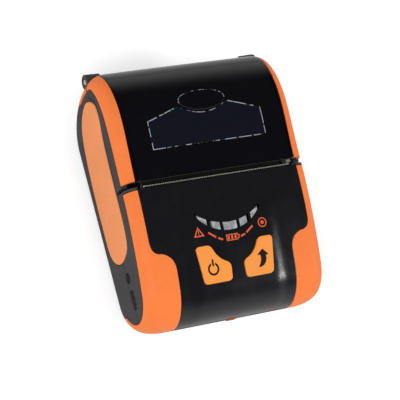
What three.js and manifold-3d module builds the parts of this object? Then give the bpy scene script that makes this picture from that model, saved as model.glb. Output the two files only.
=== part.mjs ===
// Portable receipt printer for 80 mm paper, in millimetres, +Z up.
// The underside rests on z = 0, the keys are at the near end (-Y) and the lid hinge at the far end (+Y).
import * as THREE from 'three';
import { mergeVertices } from 'three/addons/utils/BufferGeometryUtils.js';
import Module from 'manifold-3d';

const wasm = await Module();
wasm.setup();

// Case: side outline
const bodyWidth = 107;
const bodyHeight = 57.8;
const crownRise = 0.5;
const nearEndY = -71.35;
const farEndY = 68.25;
const throatY = 4;
const floorNearLength = 21.35;
const floorNearY = nearEndY + floorNearLength;
const floorFarLength = 31;
const floorFarY = farEndY - floorFarLength;
const lidFarLength = 30.25;
const lidPeakY = farEndY - lidFarLength;
const noseLength = 16.85;
const browY = nearEndY + noseLength;
const throatDrop = 3.5;
const throatZ = bodyHeight - throatDrop;
const browDrop = 9;
const browZ = throatZ - browDrop;
const splitDrop = 19.3;
const caseSplitZ = browZ - splitDrop;
const noseDrop = 1;
const noseZ = caseSplitZ - noseDrop;
const hingeDrop = 21.3;
const hingeZ = throatZ - hingeDrop;
const farBulgeRise = 6;
const farBulgeZ = hingeZ + farBulgeRise;

// Case: rounded edge, how far it runs in from the side and how far it drops
const floorEdge = 9;
const farEdgeSpread = 10;
const farEdgeDrop = 7;
const lidEdgeSpread = 6.1;
const lidEdgeDrop = 8;
const throatEdgeDrop = 6.2;
const browEdgeSpread = 9;
const noseEdgeSpread = 14;
const noseEdgeDrop = 6.5;

// Bezier handles of each stretch of the outline, as shares of its two ends' distance in y and z
const floorHandleShares = [[1 / 3, 1 / 3], [2 / 3, 2 / 3]];
const farLowHandleShares = [[0.552, 0], [1, 0.448]];
const farHighHandleShares = [[0, 0.585], [0.471, 1]];
const lidHandleShares = [[0.294, 0], [0.647, 0.743]];
const panelHandleShares = [[0.342, 0.078], [0.684, 0.433]];
const noseHighHandleShares = [[0.58, 0.143], [1, 0.532]];
const noseLowHandleShares = [[0, 0.52], [0.448, 1]];

// Walls and clearances
const gap = 0.3;
const skin = 2;
const ledge = 1.3;
const deepWall = skin + gap + ledge;
const overrun = 30;
const halfWidth = bodyWidth / 2;

// Partings
const slotLidY = 3.9;
const slotPanelY = -0.4;
const stripEndY = -0.95;
const bandLidY = 2.6;
const bandCaseY = 0.8;
const lidTailRise = 4;
const lidTailZ = hingeZ + lidTailRise;
const deckEndY = -8;
const farCornerLength = 12.25;
const farCornerY = farEndY - farCornerLength;

// Front panel, its flare and its raised key pad
const stripX = halfWidth - lidEdgeSpread;
const farCornerIn = 3.4;
const farCornerX = stripX - farCornerIn;
const flareStartY = -28;
const flareBendY = -35.4;
const flareBendShare = 0.7757;
const flareBendX = flareBendShare * halfWidth;
const flareKneeY = -37.6;
const flareEndY = -45;
const flareEndShare = 0.6467;
const flareEndX = flareEndShare * halfWidth;
const padRise = 0.9;
const padTopShare = 0.4206;
const padTopX = padTopShare * halfWidth;
const padSlope = 6.1;
const padFootX = padTopX + padSlope;
const padStartY = -12;
const padFullY = -32;
const padFadeRise = 1;
const padFadeZ = caseSplitZ + padFadeRise;
const padFullDrop = 5.3;
const padFullZ = browZ - padFullDrop;

// Bumpers and rear trims
const bumperFootLength = 13.35;
const bumperFootY = nearEndY + bumperFootLength;
const bumperFootRise = 4;
const bumperFootZ = caseSplitZ + bumperFootRise;
const trimNearLength = 9.75;
const trimNearY = farEndY - trimNearLength;
const trimTopRise = 3;
const trimTopZ = hingeZ + trimTopRise;
const trimLength = 22;
const trimFootZ = trimTopZ - trimLength;

// Side grips
const gripDepth = 1.2;
const gripProud = 0.5;
const gripRim = 1;
const gripNearY = -31.6;
const gripFarLength = 11.65;
const gripFarY = farEndY - gripFarLength;
const gripLowZ = 12;
const gripDrop = 10.7;
const gripHighZ = throatZ - gripDrop;
// Grip outline, as shares of its length from the near end and of its height
const gripOutlineShares = [
  [0, 0.38], [0.05, 0.73], [0.15, 0.84], [0.47, 0.885], [0.72, 0.93], [0.87, 1], [0.95, 0.95],
  [1, 0.7], [0.97, 0.43], [0.88, 0.2], [0.68, 0.06], [0.25, 0], [0.08, 0.03], [0.02, 0.16],
];

// Window and finger dimple in the lid
const windowIn = 13.4;
const windowHalf = stripX - windowIn;
const windowNearLength = 14.3;
const windowNearY = slotLidY + windowNearLength;
const windowShoulderLength = 4;
const windowShoulderY = lidPeakY - windowShoulderLength;
const windowPeakShare = 0.438;
const windowPeakX = windowPeakShare * windowHalf;
const windowPeakLength = 2.1;
const windowPeakY = lidPeakY + windowPeakLength;
const windowHollowLength = 2.6;
const windowHollowY = lidPeakY - windowHollowLength;
const dimpleX = 0.4;
const dimpleLength = 4.3;
const dimpleY = lidPeakY + dimpleLength;
const dimpleIn = 1.3;
const dimpleHalfX = windowPeakX - dimpleIn;
const dimpleHalfY = 6.2;
const dimpleDepth = 1.3;
const frameLedge = 2;

// Keys
const keyTravel = 0.5;
const keyProud = 0.6;
const keyTopY = -35.4;
const keyFootLength = 0.5;
const keyFootY = browY - keyFootLength;
// Key outline: shares of the pad's half width and of the key's length, which way it grows, share cut off for the bend
const keyOutlineShares = [
  [1.018, 0, 1, 1, 0.107], [0.631, 0, -1, 1, 0.107], [0.48, 0.378, -1, 1, 0.222],
  [0.169, 0.541, -1, 1, 0.107], [0.187, 1, -1, -1, 0.107], [0.916, 1, 1, -1, 0.107],
];
const keyStemShares = [0.622, 0.592];
const keyStemRadius = 2;
const switchSize = 6;
const switchHeight = 3;

// Lights in an arc between two circles
const arcIn = 3.5;
const arcHalf = padTopX - arcIn;
const arcLowY = -29.2;
const arcLowShare = 1.237;
const arcLowRadius = arcLowShare * arcHalf;
const arcHighY = -24.8;
const arcHighShare = 1.616;
const arcHighRadius = arcHighShare * arcHalf;
const lightRibShares = [-0.642, -0.258, 0.258, 0.642];
const lightRib = 1.5;
const lightSink = 0.3;

// Hinge
const hingeIn = 0.7;
const hingeY = farEndY - hingeIn;
const knuckleRadius = 4.2;
const lidKnuckleRadius = 4.1;
const pinRadius = 1.5;
const knuckleOuterIn = 2;
const knuckleOuterX = halfWidth - knuckleOuterIn;
const knuckleMidIn = 7.2;
const knuckleMidX = halfWidth - knuckleMidIn;
const knuckleInnerIn = 10.5;
const knuckleInnerX = halfWidth - knuckleInnerIn;
const hingeWeb = 3.4;

// Platen on the lid
const paperMargin = 13.5;
const paperHalf = halfWidth - paperMargin;
const platenY = 9.5;
const platenDrop = 11.3;
const platenZ = throatZ - platenDrop;
const platenRadius = 5;
const shaftRadius = 2;
const bushRadius = 3.7;
const bushFlange = 0.9;
const plateIn = 11.7;
const plateX = halfWidth - plateIn;
const plate = 1.4;
const armIn = 8.9;
const armX = halfWidth - armIn;
const arm = 1.6;
const armRadius = 4.3;
const gearIn = 6.6;
const gearX = halfWidth - gearIn;
const gearWidth = 2.4;

// Gear train
const gearModule = 0.6;
const platenTeeth = 20;
const idlerTeeth = 24;
const pinionTeeth = 10;
const rootShare = 1.2;
const tipShare = 0.9;
const meshSlack = 0.12;
const toothSlack = 0.12;
const pressureAngle = 20 * Math.PI / 180;
const pinionBearing = 220 * Math.PI / 180;
const idlerAxleRadius = 1.5;
const motorShaftRadius = 1;
const motorRadius = 9;
const motorLength = 22;
const motorCollar = 3;

// Print head, its springs, the tear bar and the mechanism frame
const headThickness = 0.9;
const headBelow = 5;
const headAbove = 4;
const sinkThickness = 3;
const sinkBelow = 10;
const sinkAbove = 5;
const springWire = 0.35;
const springRadius = 2;
const springTurns = 3;
const springPlaceShare = 0.6;
const frameNearY = -7;
const frameCrossDrop = 10;
const frameCrossZ = platenZ - frameCrossDrop;
const frameTopDrop = 4.6;
const frameTopZ = throatZ - frameTopDrop;
const frameLowFarY = 8;
const frameHighFarY = 15.4;
const frameStepDrop = 11.2;
const frameStepZ = platenZ - frameStepDrop;
const tearY = 0.3;
const tearThickness = 0.6;
const tearTopZ = throatZ - gap;
const tearTooth = 0.9;
const tearPitch = 2.2;
const tearOverhang = 0.2;
const tearHalf = plateX + plate + tearOverhang;

// Paper tray
const trayWall = 1.6;
const trayEnd = 1.5;
const rollSlack = 1;
const trayHalf = paperHalf + rollSlack;
const trayLip = 5.6;
const trayTopRise = 2;
const trayTopZ = hingeZ + trayTopRise;
const trayDepth = trayTopZ - trayLip - trayWall - skin - gap;
const trayCentreZ = skin + gap + trayWall + trayDepth;
const trayNearLength = 0.4;
const trayNearY = frameLowFarY + trayNearLength;
const trayFarLength = 5.65;
const trayFarY = farEndY - trayFarLength;
const trayY = (trayNearY + trayFarY) / 2;
const trayRadius = trayFarY - trayY - trayWall;
const sensorX = -12;
const sensorSize = 7;
const sensorDepth = 1.5;

// Sockets, boards, battery and screws
const jackSize = 9;
const jackHole = 5.8;
const jackBore = 5.5;
const jackPin = 2;
const jackDepth = 11;
const jackWall = 2;
const usbLength = 19.25;
const usbY = nearEndY + usbLength;
const usbWidth = 7.8;
const usbHeight = 3.9;
const usbDepth = 8;
const usbSheet = 0.4;
const usbMouthWidth = 10.3;
const usbMouthHeight = 5;
const usbTongue = 1;
const socketPitch = 12;
const jackY = usbY + socketPitch;
const board = 1.6;
const boardGap = 1;
const bayWall = 1.2;
const keyBoardDrop = 8.8;
const keyBoardZ = browZ - keyBoardDrop;
const socketDrop = 5;
const boardTopZ = keyBoardZ - socketDrop - jackSize - gap;
const socketZ = boardTopZ + gap + jackSize / 2;
const packTopZ = boardTopZ - board - gap - boardGap - bayWall - gap;
const packIn = 22.5;
const packHalf = halfWidth - packIn;
const packNearLength = 12.85;
const packNearY = nearEndY + packNearLength;
const packFarY = -16.3;
const boardMargin = 5;
const boardHalf = packHalf + boardMargin;
const boardSocketIn = 4.3;
const boardSocketX = halfWidth - boardSocketIn;
const boardSocketNear = 5.9;
const boardSocketNearY = usbY - boardSocketNear;
const boardSocketFar = 5.6;
const boardSocketFarY = jackY + boardSocketFar;
const keyBoardMargin = 7.5;
const keyBoardHalf = padTopX + keyBoardMargin;
const keyBoardNearLength = 12.35;
const keyBoardNearY = nearEndY + keyBoardNearLength;
const keyBoardFarY = -15.5;
const deckRim = 4.5;
const deckHoleHalf = keyBoardHalf - deckRim;
const deckHoleNearY = keyBoardNearY + boardGap;
const deckHoleFarY = -15;
const postRadius = 1.6;
const latchHalf = 2.6;
const latchHeight = 3.8;
const latchFlangeHalf = 5;
const latchFlange = 2;
const latchSpringRadius = 1.5;
const latchProud = 0.4;
const screwNearIn = 13.5;
const screwNearX = halfWidth - screwNearIn;
const screwNearY = -27;
const screwFarIn = 6.9;
const screwFarX = halfWidth - screwFarIn;
const screwFarLength = 35.25;
const screwFarY = farEndY - screwFarLength;
const screwHeadRadius = 2.6;
const screwHead = 2;
const screwSink = 0.8;
const screwRadius = 1.25;
const screwLength = 20;
const bossRadius = 3.5;
const bossDrop = 12;
const bossTopZ = caseSplitZ - bossDrop;
const crossSlot = 0.8;

// Facets
const roundSides = 18;
const smallSides = 10;
const edgeSteps = 3;
const wireSides = 3;
const turnSteps = 8;
const rightAngle = Math.PI / 2;

// Turns a closed geometry into a solid
function solidOf(geometry) {
  geometry.deleteAttribute('normal');
  geometry.deleteAttribute('uv');
  const merged = mergeVertices(geometry);
  return new wasm.Manifold(new wasm.Mesh({
    numProp: 3,
    vertProperties: new Float32Array(merged.attributes.position.array),
    triVerts: new Uint32Array(merged.index.array),
  }));
}

function geometryOf(solid) {
  const mesh = solid.getMesh();
  const geometry = new THREE.BufferGeometry();
  geometry.setAttribute('position', new THREE.BufferAttribute(mesh.vertProperties, 3));
  geometry.setIndex(new THREE.BufferAttribute(mesh.triVerts, 1));
  geometry.computeVertexNormals();
  return geometry;
}

function shapeOf(points) {
  return new THREE.Shape(points.map(([u, v]) => new THREE.Vector2(u, v)));
}

function extruded(shape, depth, curveSegments = roundSides / 4) {
  return new THREE.ExtrudeGeometry(shape, { depth, bevelEnabled: false, curveSegments });
}

// A side-view shape in (y, z), run from x0 to x1
function sidePrism(shape, x0, x1, curveSegments) {
  const geometry = extruded(shape, x1 - x0, curveSegments);
  const basis = new THREE.Matrix4().makeBasis(
    new THREE.Vector3(0, 1, 0), new THREE.Vector3(0, 0, 1), new THREE.Vector3(1, 0, 0));
  return solidOf(geometry.applyMatrix4(basis).translate(x0, 0, 0));
}

// A plan shape in (x, y), run from z0 to z1
function planPrism(shape, z0, z1) {
  return solidOf(extruded(shape, z1 - z0).translate(0, 0, z0));
}

function block(x0, x1, y0, y1, z0, z1) {
  const geometry = new THREE.BoxGeometry(x1 - x0, y1 - y0, z1 - z0);
  return solidOf(geometry.translate((x0 + x1) / 2, (y0 + y1) / 2, (z0 + z1) / 2));
}

// A cylinder along X, about the line (y, z)
function rodX(radius, x0, x1, y, z, sides = roundSides) {
  const geometry = new THREE.CylinderGeometry(radius, radius, x1 - x0, sides);
  return solidOf(geometry.rotateZ(rightAngle).translate((x0 + x1) / 2, y, z));
}

function rodZ(radius, x, y, z0, z1, sides = roundSides) {
  const geometry = new THREE.CylinderGeometry(radius, radius, z1 - z0, sides);
  return solidOf(geometry.rotateX(rightAngle).translate(x, y, (z0 + z1) / 2));
}

function joined(...solids) {
  return solids.reduce((sum, solid) => sum.add(solid));
}

function smooth(value, from, to) {
  return THREE.MathUtils.smoothstep(value, Math.min(from, to), Math.max(from, to));
}

// The side outline, counterclockwise seen from +X, with the rounded edge that each place has
function outlineStations() {
  const corners = [
    { y: floorNearY, z: 0, spread: floorEdge, drop: floorEdge, shares: floorHandleShares, steps: 2 },
    { y: floorFarY, z: 0, spread: floorEdge, drop: floorEdge, shares: farLowHandleShares, steps: 8 },
    { y: farEndY, z: farBulgeZ, spread: farEdgeSpread, drop: farEdgeDrop, shares: farHighHandleShares, steps: 8 },
    { y: lidPeakY, z: bodyHeight, spread: lidEdgeSpread, drop: lidEdgeDrop, shares: lidHandleShares, steps: 4 },
    { y: throatY, z: throatZ, spread: lidEdgeSpread, drop: throatEdgeDrop, shares: panelHandleShares, steps: 6 },
    { y: browY, z: browZ, spread: browEdgeSpread, drop: noseEdgeDrop, shares: noseHighHandleShares, steps: 6 },
    { y: nearEndY, z: noseZ, spread: noseEdgeSpread, drop: noseEdgeDrop, shares: noseLowHandleShares, steps: 6 },
  ];
  const stations = [];
  corners.forEach((from, index) => {
    const to = corners[(index + 1) % corners.length];
    const handles = from.shares.map(([shareY, shareZ]) => new THREE.Vector2(
      THREE.MathUtils.lerp(from.y, to.y, shareY), THREE.MathUtils.lerp(from.z, to.z, shareZ)));
    const curve = new THREE.CubicBezierCurve(
      new THREE.Vector2(from.y, from.z), handles[0], handles[1], new THREE.Vector2(to.y, to.z));
    for (let step = 0; step < from.steps; step += 1) {
      const share = step / from.steps;
      const point = curve.getPoint(share);
      const tangent = curve.getTangent(share);
      const ease = smooth(share, 0, 1);
      stations.push({
        y: point.x,
        z: point.y,
        outY: tangent.y,
        outZ: -tangent.x,
        spread: THREE.MathUtils.lerp(from.spread, to.spread, ease),
        drop: THREE.MathUtils.lerp(from.drop, to.drop, ease),
      });
    }
  });
  return stations;
}

const stations = outlineStations();

// Rings across the body from -X to +X: edge angle on the rounded edge, share of the flat part between
function bodyRings(flatXs) {
  const edge = Array.from({ length: edgeSteps + 1 }, (unused, step) => (edgeSteps - step) * rightAngle / edgeSteps);
  const flats = flatXs.map((x) => ({ x }));
  return [
    ...edge.map((angle) => ({ side: -1, angle })),
    ...flats.map(({ x }) => ({ x: -x })).reverse(),
    { x: 0 },
    ...flats,
    ...edge.reverse().map((angle) => ({ side: 1, angle })),
  ];
}

// The raised key pad: full on the middle of the panel, gone at its foot, the slot and the nose
function padLift(x, station) {
  const across = 1 - smooth(Math.abs(x), padTopX, padFootX);
  const along = 1 - smooth(station.y, padFullY, padStartY);
  const down = smooth(station.z, padFadeZ, padFullZ);
  return padRise * across * along * down;
}

// The whole case as one solid, inset from its outer face; withPad raises the key pad
function bodySolid(inset, withPad = false) {
  const flatXs = withPad ? [padTopX / 2, padTopX, (padTopX + padFootX) / 2, padFootX] : [halfWidth / 2.5];
  const rings = bodyRings(flatXs);
  const count = stations.length;
  const positions = [];
  const triangles = [];
  rings.forEach((ring) => {
    stations.forEach((station) => {
      const spread = station.spread - inset;
      const drop = station.drop - inset;
      const edgeIn = ring.side ? drop * (1 - Math.cos(ring.angle)) : 0;
      const x = ring.side ? ring.side * (halfWidth - inset - spread * (1 - Math.sin(ring.angle))) : ring.x;
      const flat = halfWidth - station.spread;
      const crown = crownRise * Math.max(0, 1 - (x / flat) ** 2) * Math.max(0, station.outZ);
      const lift = withPad ? padLift(x, station) : 0;
      const inward = inset + edgeIn - crown - lift;
      positions.push(x, station.y - station.outY * inward, station.z - station.outZ * inward);
    });
  });
  for (let ring = 0; ring < rings.length - 1; ring += 1) {
    for (let step = 0; step < count; step += 1) {
      const next = (step + 1) % count;
      const low = ring * count;
      const high = low + count;
      triangles.push(low + step, low + next, high + next, low + step, high + next, high + step);
    }
  }
  [[0, -1], [(rings.length - 1) * count, 1]].forEach(([first, side]) => {
    const middle = positions.length / 3;
    positions.push(side * (halfWidth - inset), (floorNearY + floorFarY) / 2, noseZ);
    for (let step = 0; step < count; step += 1) {
      const next = (step + 1) % count;
      triangles.push(middle, first + (side > 0 ? step : next), first + (side > 0 ? next : step));
    }
  });
  return new wasm.Manifold(new wasm.Mesh({
    numProp: 3,
    vertProperties: new Float32Array(positions),
    triVerts: new Uint32Array(triangles),
  }));
}

const outer = bodySolid(0);
const padded = bodySolid(0, true);
const underSkin = bodySolid(skin);
const onLedge = bodySolid(skin + gap);
const inside = bodySolid(deepWall);
const outerSkin = outer.subtract(underSkin);

// Everything within the flat side face, less a margin: the dark part of each side
function sideFace(margin) {
  const points = stations.map((station) => [
    station.y - station.outY * (station.drop + margin), station.z - station.outZ * (station.drop + margin)]);
  return sidePrism(shapeOf(points), -overrun - halfWidth, overrun + halfWidth);
}

// Side outline of the lid, grown by a clearance: its near edge, the line over the grip, and its tail
function gripPoint([shareY, shareZ], grow = 0) {
  const midY = (gripNearY + gripFarY) / 2;
  const midZ = (gripLowZ + gripHighZ) / 2;
  const y = THREE.MathUtils.lerp(gripNearY, gripFarY, shareY);
  const z = THREE.MathUtils.lerp(gripLowZ, gripHighZ, shareZ);
  return [y + Math.sign(y - midY) * grow, z + Math.sign(z - midZ) * grow];
}

function lidRegion(clear, nearY, bandY) {
  const rim = gripOutlineShares.slice(2, 8).map((share) => gripPoint(share, gripRim + gap - clear));
  const shape = new THREE.Shape();
  const farY = farEndY + overrun;
  const topZ = bodyHeight + overrun;
  const bandTopZ = throatZ - throatEdgeDrop;
  shape.moveTo(nearY - clear, topZ);
  shape.lineTo(nearY - clear, bandTopZ);
  shape.lineTo(bandY - clear, bandTopZ);
  shape.lineTo(bandY - clear, rim[1][1] - gap);
  shape.splineThru(rim.slice(1, 5).map(([y, z]) => new THREE.Vector2(y, z)));
  shape.lineTo(rim[5][0], lidTailZ + gap - clear);
  shape.lineTo(farY, lidTailZ + gap - clear);
  shape.lineTo(farY, topZ);
  return sidePrism(shape, -overrun - halfWidth, overrun + halfWidth);
}

const lidSpace = lidRegion(0, slotLidY, bandLidY);
const lidKeepOut = lidRegion(gap, bandCaseY + gap, bandCaseY + gap);

// Half of the panel's outline, from the slot to past the near end
function panelShape(margin) {
  const side = stripX - margin;
  const waist = flareEndX - margin;
  const shape = new THREE.Shape();
  shape.moveTo(side, overrun);
  shape.lineTo(side, flareStartY - margin);
  shape.quadraticCurveTo(side, flareBendY + margin, flareBendX - margin, flareBendY + margin);
  shape.quadraticCurveTo(waist, flareKneeY + margin, waist, flareEndY);
  shape.lineTo(waist, nearEndY - overrun);
  shape.lineTo(-waist, nearEndY - overrun);
  shape.lineTo(-waist, flareEndY);
  shape.quadraticCurveTo(-waist, flareKneeY + margin, margin - flareBendX, flareBendY + margin);
  shape.quadraticCurveTo(-side, flareBendY + margin, -side, flareStartY - margin);
  shape.lineTo(-side, overrun);
  return shape;
}

function panelSpace(margin) {
  const column = planPrism(panelShape(margin), caseSplitZ + margin, bodyHeight + overrun);
  const beyondSlot = block(-overrun - halfWidth, overrun + halfWidth, slotPanelY - margin, farEndY + overrun,
    -overrun, bodyHeight + overrun);
  return column.subtract(beyondSlot);
}

// Space of both bumpers: outside the panel and the flat side face, to a foot under the near corners
function bumperSpace(margin) {
  const all = block(-overrun - halfWidth, overrun + halfWidth, nearEndY - overrun, stripEndY - margin,
    -overrun, bodyHeight + overrun);
  const wideFoot = block(-overrun - halfWidth, overrun + halfWidth, bumperFootY - margin, farEndY,
    -overrun, bumperFootZ);
  const panel = planPrism(panelShape(-margin), -overrun, bodyHeight + overrun);
  return all.subtract(panel).subtract(wideFoot).subtract(sideFace(-margin));
}

function trimSpace(margin) {
  const all = block(-overrun - halfWidth, overrun + halfWidth, trimNearY + margin, farEndY + overrun,
    trimFootZ + margin, trimTopZ - margin);
  const middle = block(-stripX - gap - margin, stripX + gap + margin, 0, farEndY + overrun, -overrun,
    bodyHeight + overrun);
  return all.subtract(middle).subtract(sideFace(-margin));
}

function halfSpace(side) {
  return side > 0
    ? block(0, overrun + halfWidth, nearEndY - overrun, farEndY + overrun, -overrun, bodyHeight + overrun)
    : block(-overrun - halfWidth, 0, nearEndY - overrun, farEndY + overrun, -overrun, bodyHeight + overrun);
}

function bothSides(make) {
  return joined(make(-1), make(1));
}

function spanX(side, near, far) {
  return side > 0 ? [near, far] : [-far, -near];
}

// The case wall: deep where the skins of panel, bumpers and trims lie over it, plain round the paper bay
function caseWall() {
  const bay = block(-halfWidth, halfWidth, deckEndY, farCornerY, skin, bodyHeight);
  const farMiddle = block(-farCornerX, farCornerX, farCornerY - skin, farEndY, skin, bodyHeight);
  const plain = underSkin.intersect(joined(bay, farMiddle));
  return outer.subtract(inside).subtract(plain);
}

function gripShape(grow) {
  const shape = new THREE.Shape();
  const points = gripOutlineShares.map((share) => new THREE.Vector2(...gripPoint(share, grow)));
  const closed = new THREE.CatmullRomCurve3(points.map((point) => new THREE.Vector3(point.x, point.y, 0)), true);
  shape.setFromPoints(closed.getPoints(gripOutlineShares.length * 3).slice(1)
    .map((point) => new THREE.Vector2(point.x, point.y)));
  return shape;
}

function gripRecess(side) {
  return sidePrism(gripShape(0), ...spanX(side, halfWidth - gripDepth, halfWidth + overrun));
}

function screwPlaces() {
  return [
    [-screwNearX, screwNearY], [screwNearX, screwNearY], [-screwFarX, screwFarY], [screwFarX, screwFarY],
  ];
}

function socketHoles() {
  const jack = rodX(jackHole / 2, -halfWidth - overrun, gap - halfWidth + deepWall, jackY, socketZ);
  const usb = block(-halfWidth - overrun, gap - halfWidth + deepWall, usbY - usbMouthWidth / 2,
    usbY + usbMouthWidth / 2, socketZ - usbMouthHeight / 2, socketZ + usbMouthHeight / 2);
  return joined(jack, usb);
}

function keyBoardTopZ() {
  return keyBoardZ + board;
}

// Notch for the lid's knuckle and the web that swings over it
function knuckleNotch(side) {
  const [x0, x1] = spanX(side, knuckleInnerX - gap, knuckleMidX + gap);
  const round = rodX(lidKnuckleRadius + gap, x0, x1, hingeY, hingeZ);
  const over = block(x0, x1, hingeY - knuckleRadius - hingeWeb, farEndY + overrun, hingeZ - ledge,
    bodyHeight + overrun);
  return joined(round, over);
}

function caseKnuckle(side) {
  const [x0, x1] = spanX(side, knuckleMidX + gap, knuckleOuterX);
  return rodX(knuckleRadius, x0, x1, hingeY, hingeZ);
}

function pinHole(side, clear) {
  const [x0, x1] = spanX(side, knuckleInnerX - gap, knuckleOuterX + overrun);
  return rodX(pinRadius + clear, x0, x1, hingeY, hingeZ, smallSides);
}

function lowerHousing() {
  const below = block(-overrun - halfWidth, overrun + halfWidth, nearEndY - overrun, farEndY + overrun,
    -overrun, caseSplitZ - gap / 2);
  let solid = caseWall().intersect(below);
  solid = solid.subtract(bumperSpace(-gap).subtract(onLedge));
  solid = solid.subtract(trimSpace(-gap).subtract(onLedge));
  const bayOuter = block(-packHalf - gap - bayWall, packHalf + gap + bayWall, packNearY - gap - bayWall,
    packFarY + gap + bayWall, skin / 2, packTopZ + gap + bayWall);
  const bayInner = block(-packHalf - gap, packHalf + gap, packNearY - gap, packFarY + gap, -overrun,
    packTopZ + gap);
  solid = solid.add(bayOuter.intersect(underSkin.add(outer.intersect(below)))).subtract(bayInner);
  boardPostPlaces().forEach(([x, y]) => {
    solid = solid.add(rodZ(postRadius, x, y, packTopZ + gap, boardTopZ - board - gap, smallSides));
  });
  screwPlaces().forEach(([x, y]) => {
    const boss = rodZ(bossRadius, x, y, skin / 2, bossTopZ - gap, smallSides).intersect(outer);
    const bore = rodZ(screwRadius + gap, x, y, -overrun, bossTopZ, smallSides);
    const sunk = rodZ(screwHeadRadius + gap, x, y, -overrun, screwSink + screwHead, smallSides);
    solid = solid.add(boss).subtract(bore).subtract(sunk);
  });
  const latch = block(-latchHalf - gap, latchHalf + gap, nearEndY - overrun, nearEndY + 2 * deepWall,
    latchLowZ() - gap, caseSplitZ);
  solid = solid.subtract(latch).subtract(socketHoles());
  return solid.subtract(bothSides(gripRecess)).subtract(bothSides(knuckleNotch));
}

function upperHousing() {
  const above = block(-overrun - halfWidth, overrun + halfWidth, nearEndY - overrun, farEndY + overrun,
    caseSplitZ + gap / 2, bodyHeight + overrun);
  let solid = caseWall().intersect(above);
  const overSlot = block(gap - stripX, stripX - gap, deckEndY, farCornerY, caseSplitZ, bodyHeight + overrun);
  solid = solid.subtract(lidKeepOut).subtract(overSlot);
  solid = solid.subtract(panelSpace(-gap).subtract(onLedge));
  solid = solid.subtract(bumperSpace(-gap).subtract(onLedge));
  solid = solid.subtract(trimSpace(-gap).subtract(onLedge));
  solid = solid.subtract(block(-deckHoleHalf, deckHoleHalf, deckHoleNearY, deckHoleFarY, keyBoardTopZ(),
    bodyHeight + overrun));
  keyBoardPostPlaces().forEach(([x, y]) => {
    const post = rodZ(postRadius, x, y, keyBoardTopZ() + gap, bodyHeight, smallSides).intersect(onLedge);
    solid = solid.add(post);
  });
  screwPlaces().forEach(([x, y], index) => {
    const far = index > 1;
    const topZ = far ? lidTailZ : bodyHeight;
    const wallX = Math.sign(x) * (halfWidth - skin / 2);
    const post = rodZ(bossRadius, x, y, bossTopZ, topZ, smallSides).intersect(onLedge);
    const rib = block(Math.min(x, wallX), Math.max(x, wallX), y - skin / 2, y + skin / 2, caseSplitZ + gap, topZ);
    const pilot = rodZ(screwRadius + gap, x, y, 0, screwSink + screwHead + screwLength + gap, smallSides);
    solid = solid.add(far ? post.add(rib) : post).subtract(pilot);
  });
  solid = solid.subtract(bothSides(knuckleNotch)).subtract(bothSides(gripRecess)).subtract(socketHoles());
  const knuckles = bothSides(caseKnuckle).subtract(bothSides((side) => pinHole(side, gap)));
  return solid.subtract(bothSides((side) => pinHole(side, gap))).add(knuckles);
}

function boardPostPlaces() {
  const x = packHalf - 2 * postRadius;
  return [[-x, packNearY + bossRadius * 2], [x, packNearY + bossRadius * 2], [-x, packFarY - bossRadius],
    [x, packFarY - bossRadius]];
}

function keyBoardPostPlaces() {
  const x = keyBoardHalf - postRadius;
  return [[-x, keyBoardNearY + bossRadius], [x, keyBoardNearY + bossRadius], [-x, keyBoardFarY - bossRadius],
    [x, keyBoardFarY - bossRadius]];
}

// A closed outline with its corners cut back by the given length and bent round
function roundedShape(corners) {
  const shape = new THREE.Shape();
  corners.forEach(([x, y, cut], index) => {
    const point = new THREE.Vector2(x, y);
    const before = corners[(index + corners.length - 1) % corners.length];
    const after = corners[(index + 1) % corners.length];
    const start = new THREE.Vector2(before[0], before[1]).sub(point).setLength(cut).add(point);
    const end = new THREE.Vector2(after[0], after[1]).sub(point).setLength(cut).add(point);
    if (index === 0) shape.moveTo(start.x, start.y);
    else shape.lineTo(start.x, start.y);
    shape.quadraticCurveTo(point.x, point.y, end.x, end.y);
  });
  return shape;
}

function keyShape(side, grow) {
  const corners = keyOutlineShares.map(([shareX, shareY, outX, outY, cut]) => [
    side * (shareX * padTopX + outX * grow),
    THREE.MathUtils.lerp(keyTopY, keyFootY, shareY) + outY * grow,
    cut * padTopX,
  ]);
  return roundedShape(side > 0 ? corners : corners.reverse());
}

function keyStem() {
  return { x: keyStemShares[0] * padTopX, y: THREE.MathUtils.lerp(keyTopY, keyFootY, keyStemShares[1]) };
}

function keyCap(side) {
  const proud = bodySolid(-keyProud, true);
  const cap = planPrism(keyShape(side, 0), keyBoardTopZ(), bodyHeight + overrun);
  const stemZ = keyBoardTopZ() + gap + switchHeight + gap + keyTravel;
  const { x, y } = keyStem();
  const stem = rodZ(keyStemRadius, side * x, y, stemZ, bodyHeight, smallSides).intersect(outer);
  return cap.intersect(proud).subtract(inside).add(stem);
}

// One light: a stretch of the crescent between two ribs
function lightShape(from, to, grow) {
  const lowY = (x) => arcLowY + arcLowRadius - Math.sqrt(arcLowRadius ** 2 - x ** 2);
  const highY = (x) => arcHighY + arcHighRadius - Math.sqrt(arcHighRadius ** 2 - x ** 2);
  const steps = 4;
  const xs = Array.from({ length: steps + 1 }, (unused, step) => from - grow + (to - from + 2 * grow) * step / steps);
  const low = xs.map((x) => [x, lowY(x) - grow]);
  const high = xs.reverse().map((x) => [x, highY(x) + grow]);
  return shapeOf([...low, ...high]);
}

function lightSpans() {
  const ribs = lightRibShares.map((share) => share * arcHalf);
  const edges = [-arcHalf - lightRib / 2, ...ribs, arcHalf + lightRib / 2];
  return edges.slice(0, -1).map((edge, index) => [edge + lightRib / 2, edges[index + 1] - lightRib / 2]);
}

function lightGuide([from, to]) {
  const sunk = bodySolid(lightSink, true);
  return planPrism(lightShape(from, to, 0), keyBoardTopZ() + gap, bodyHeight).intersect(sunk);
}

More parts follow.
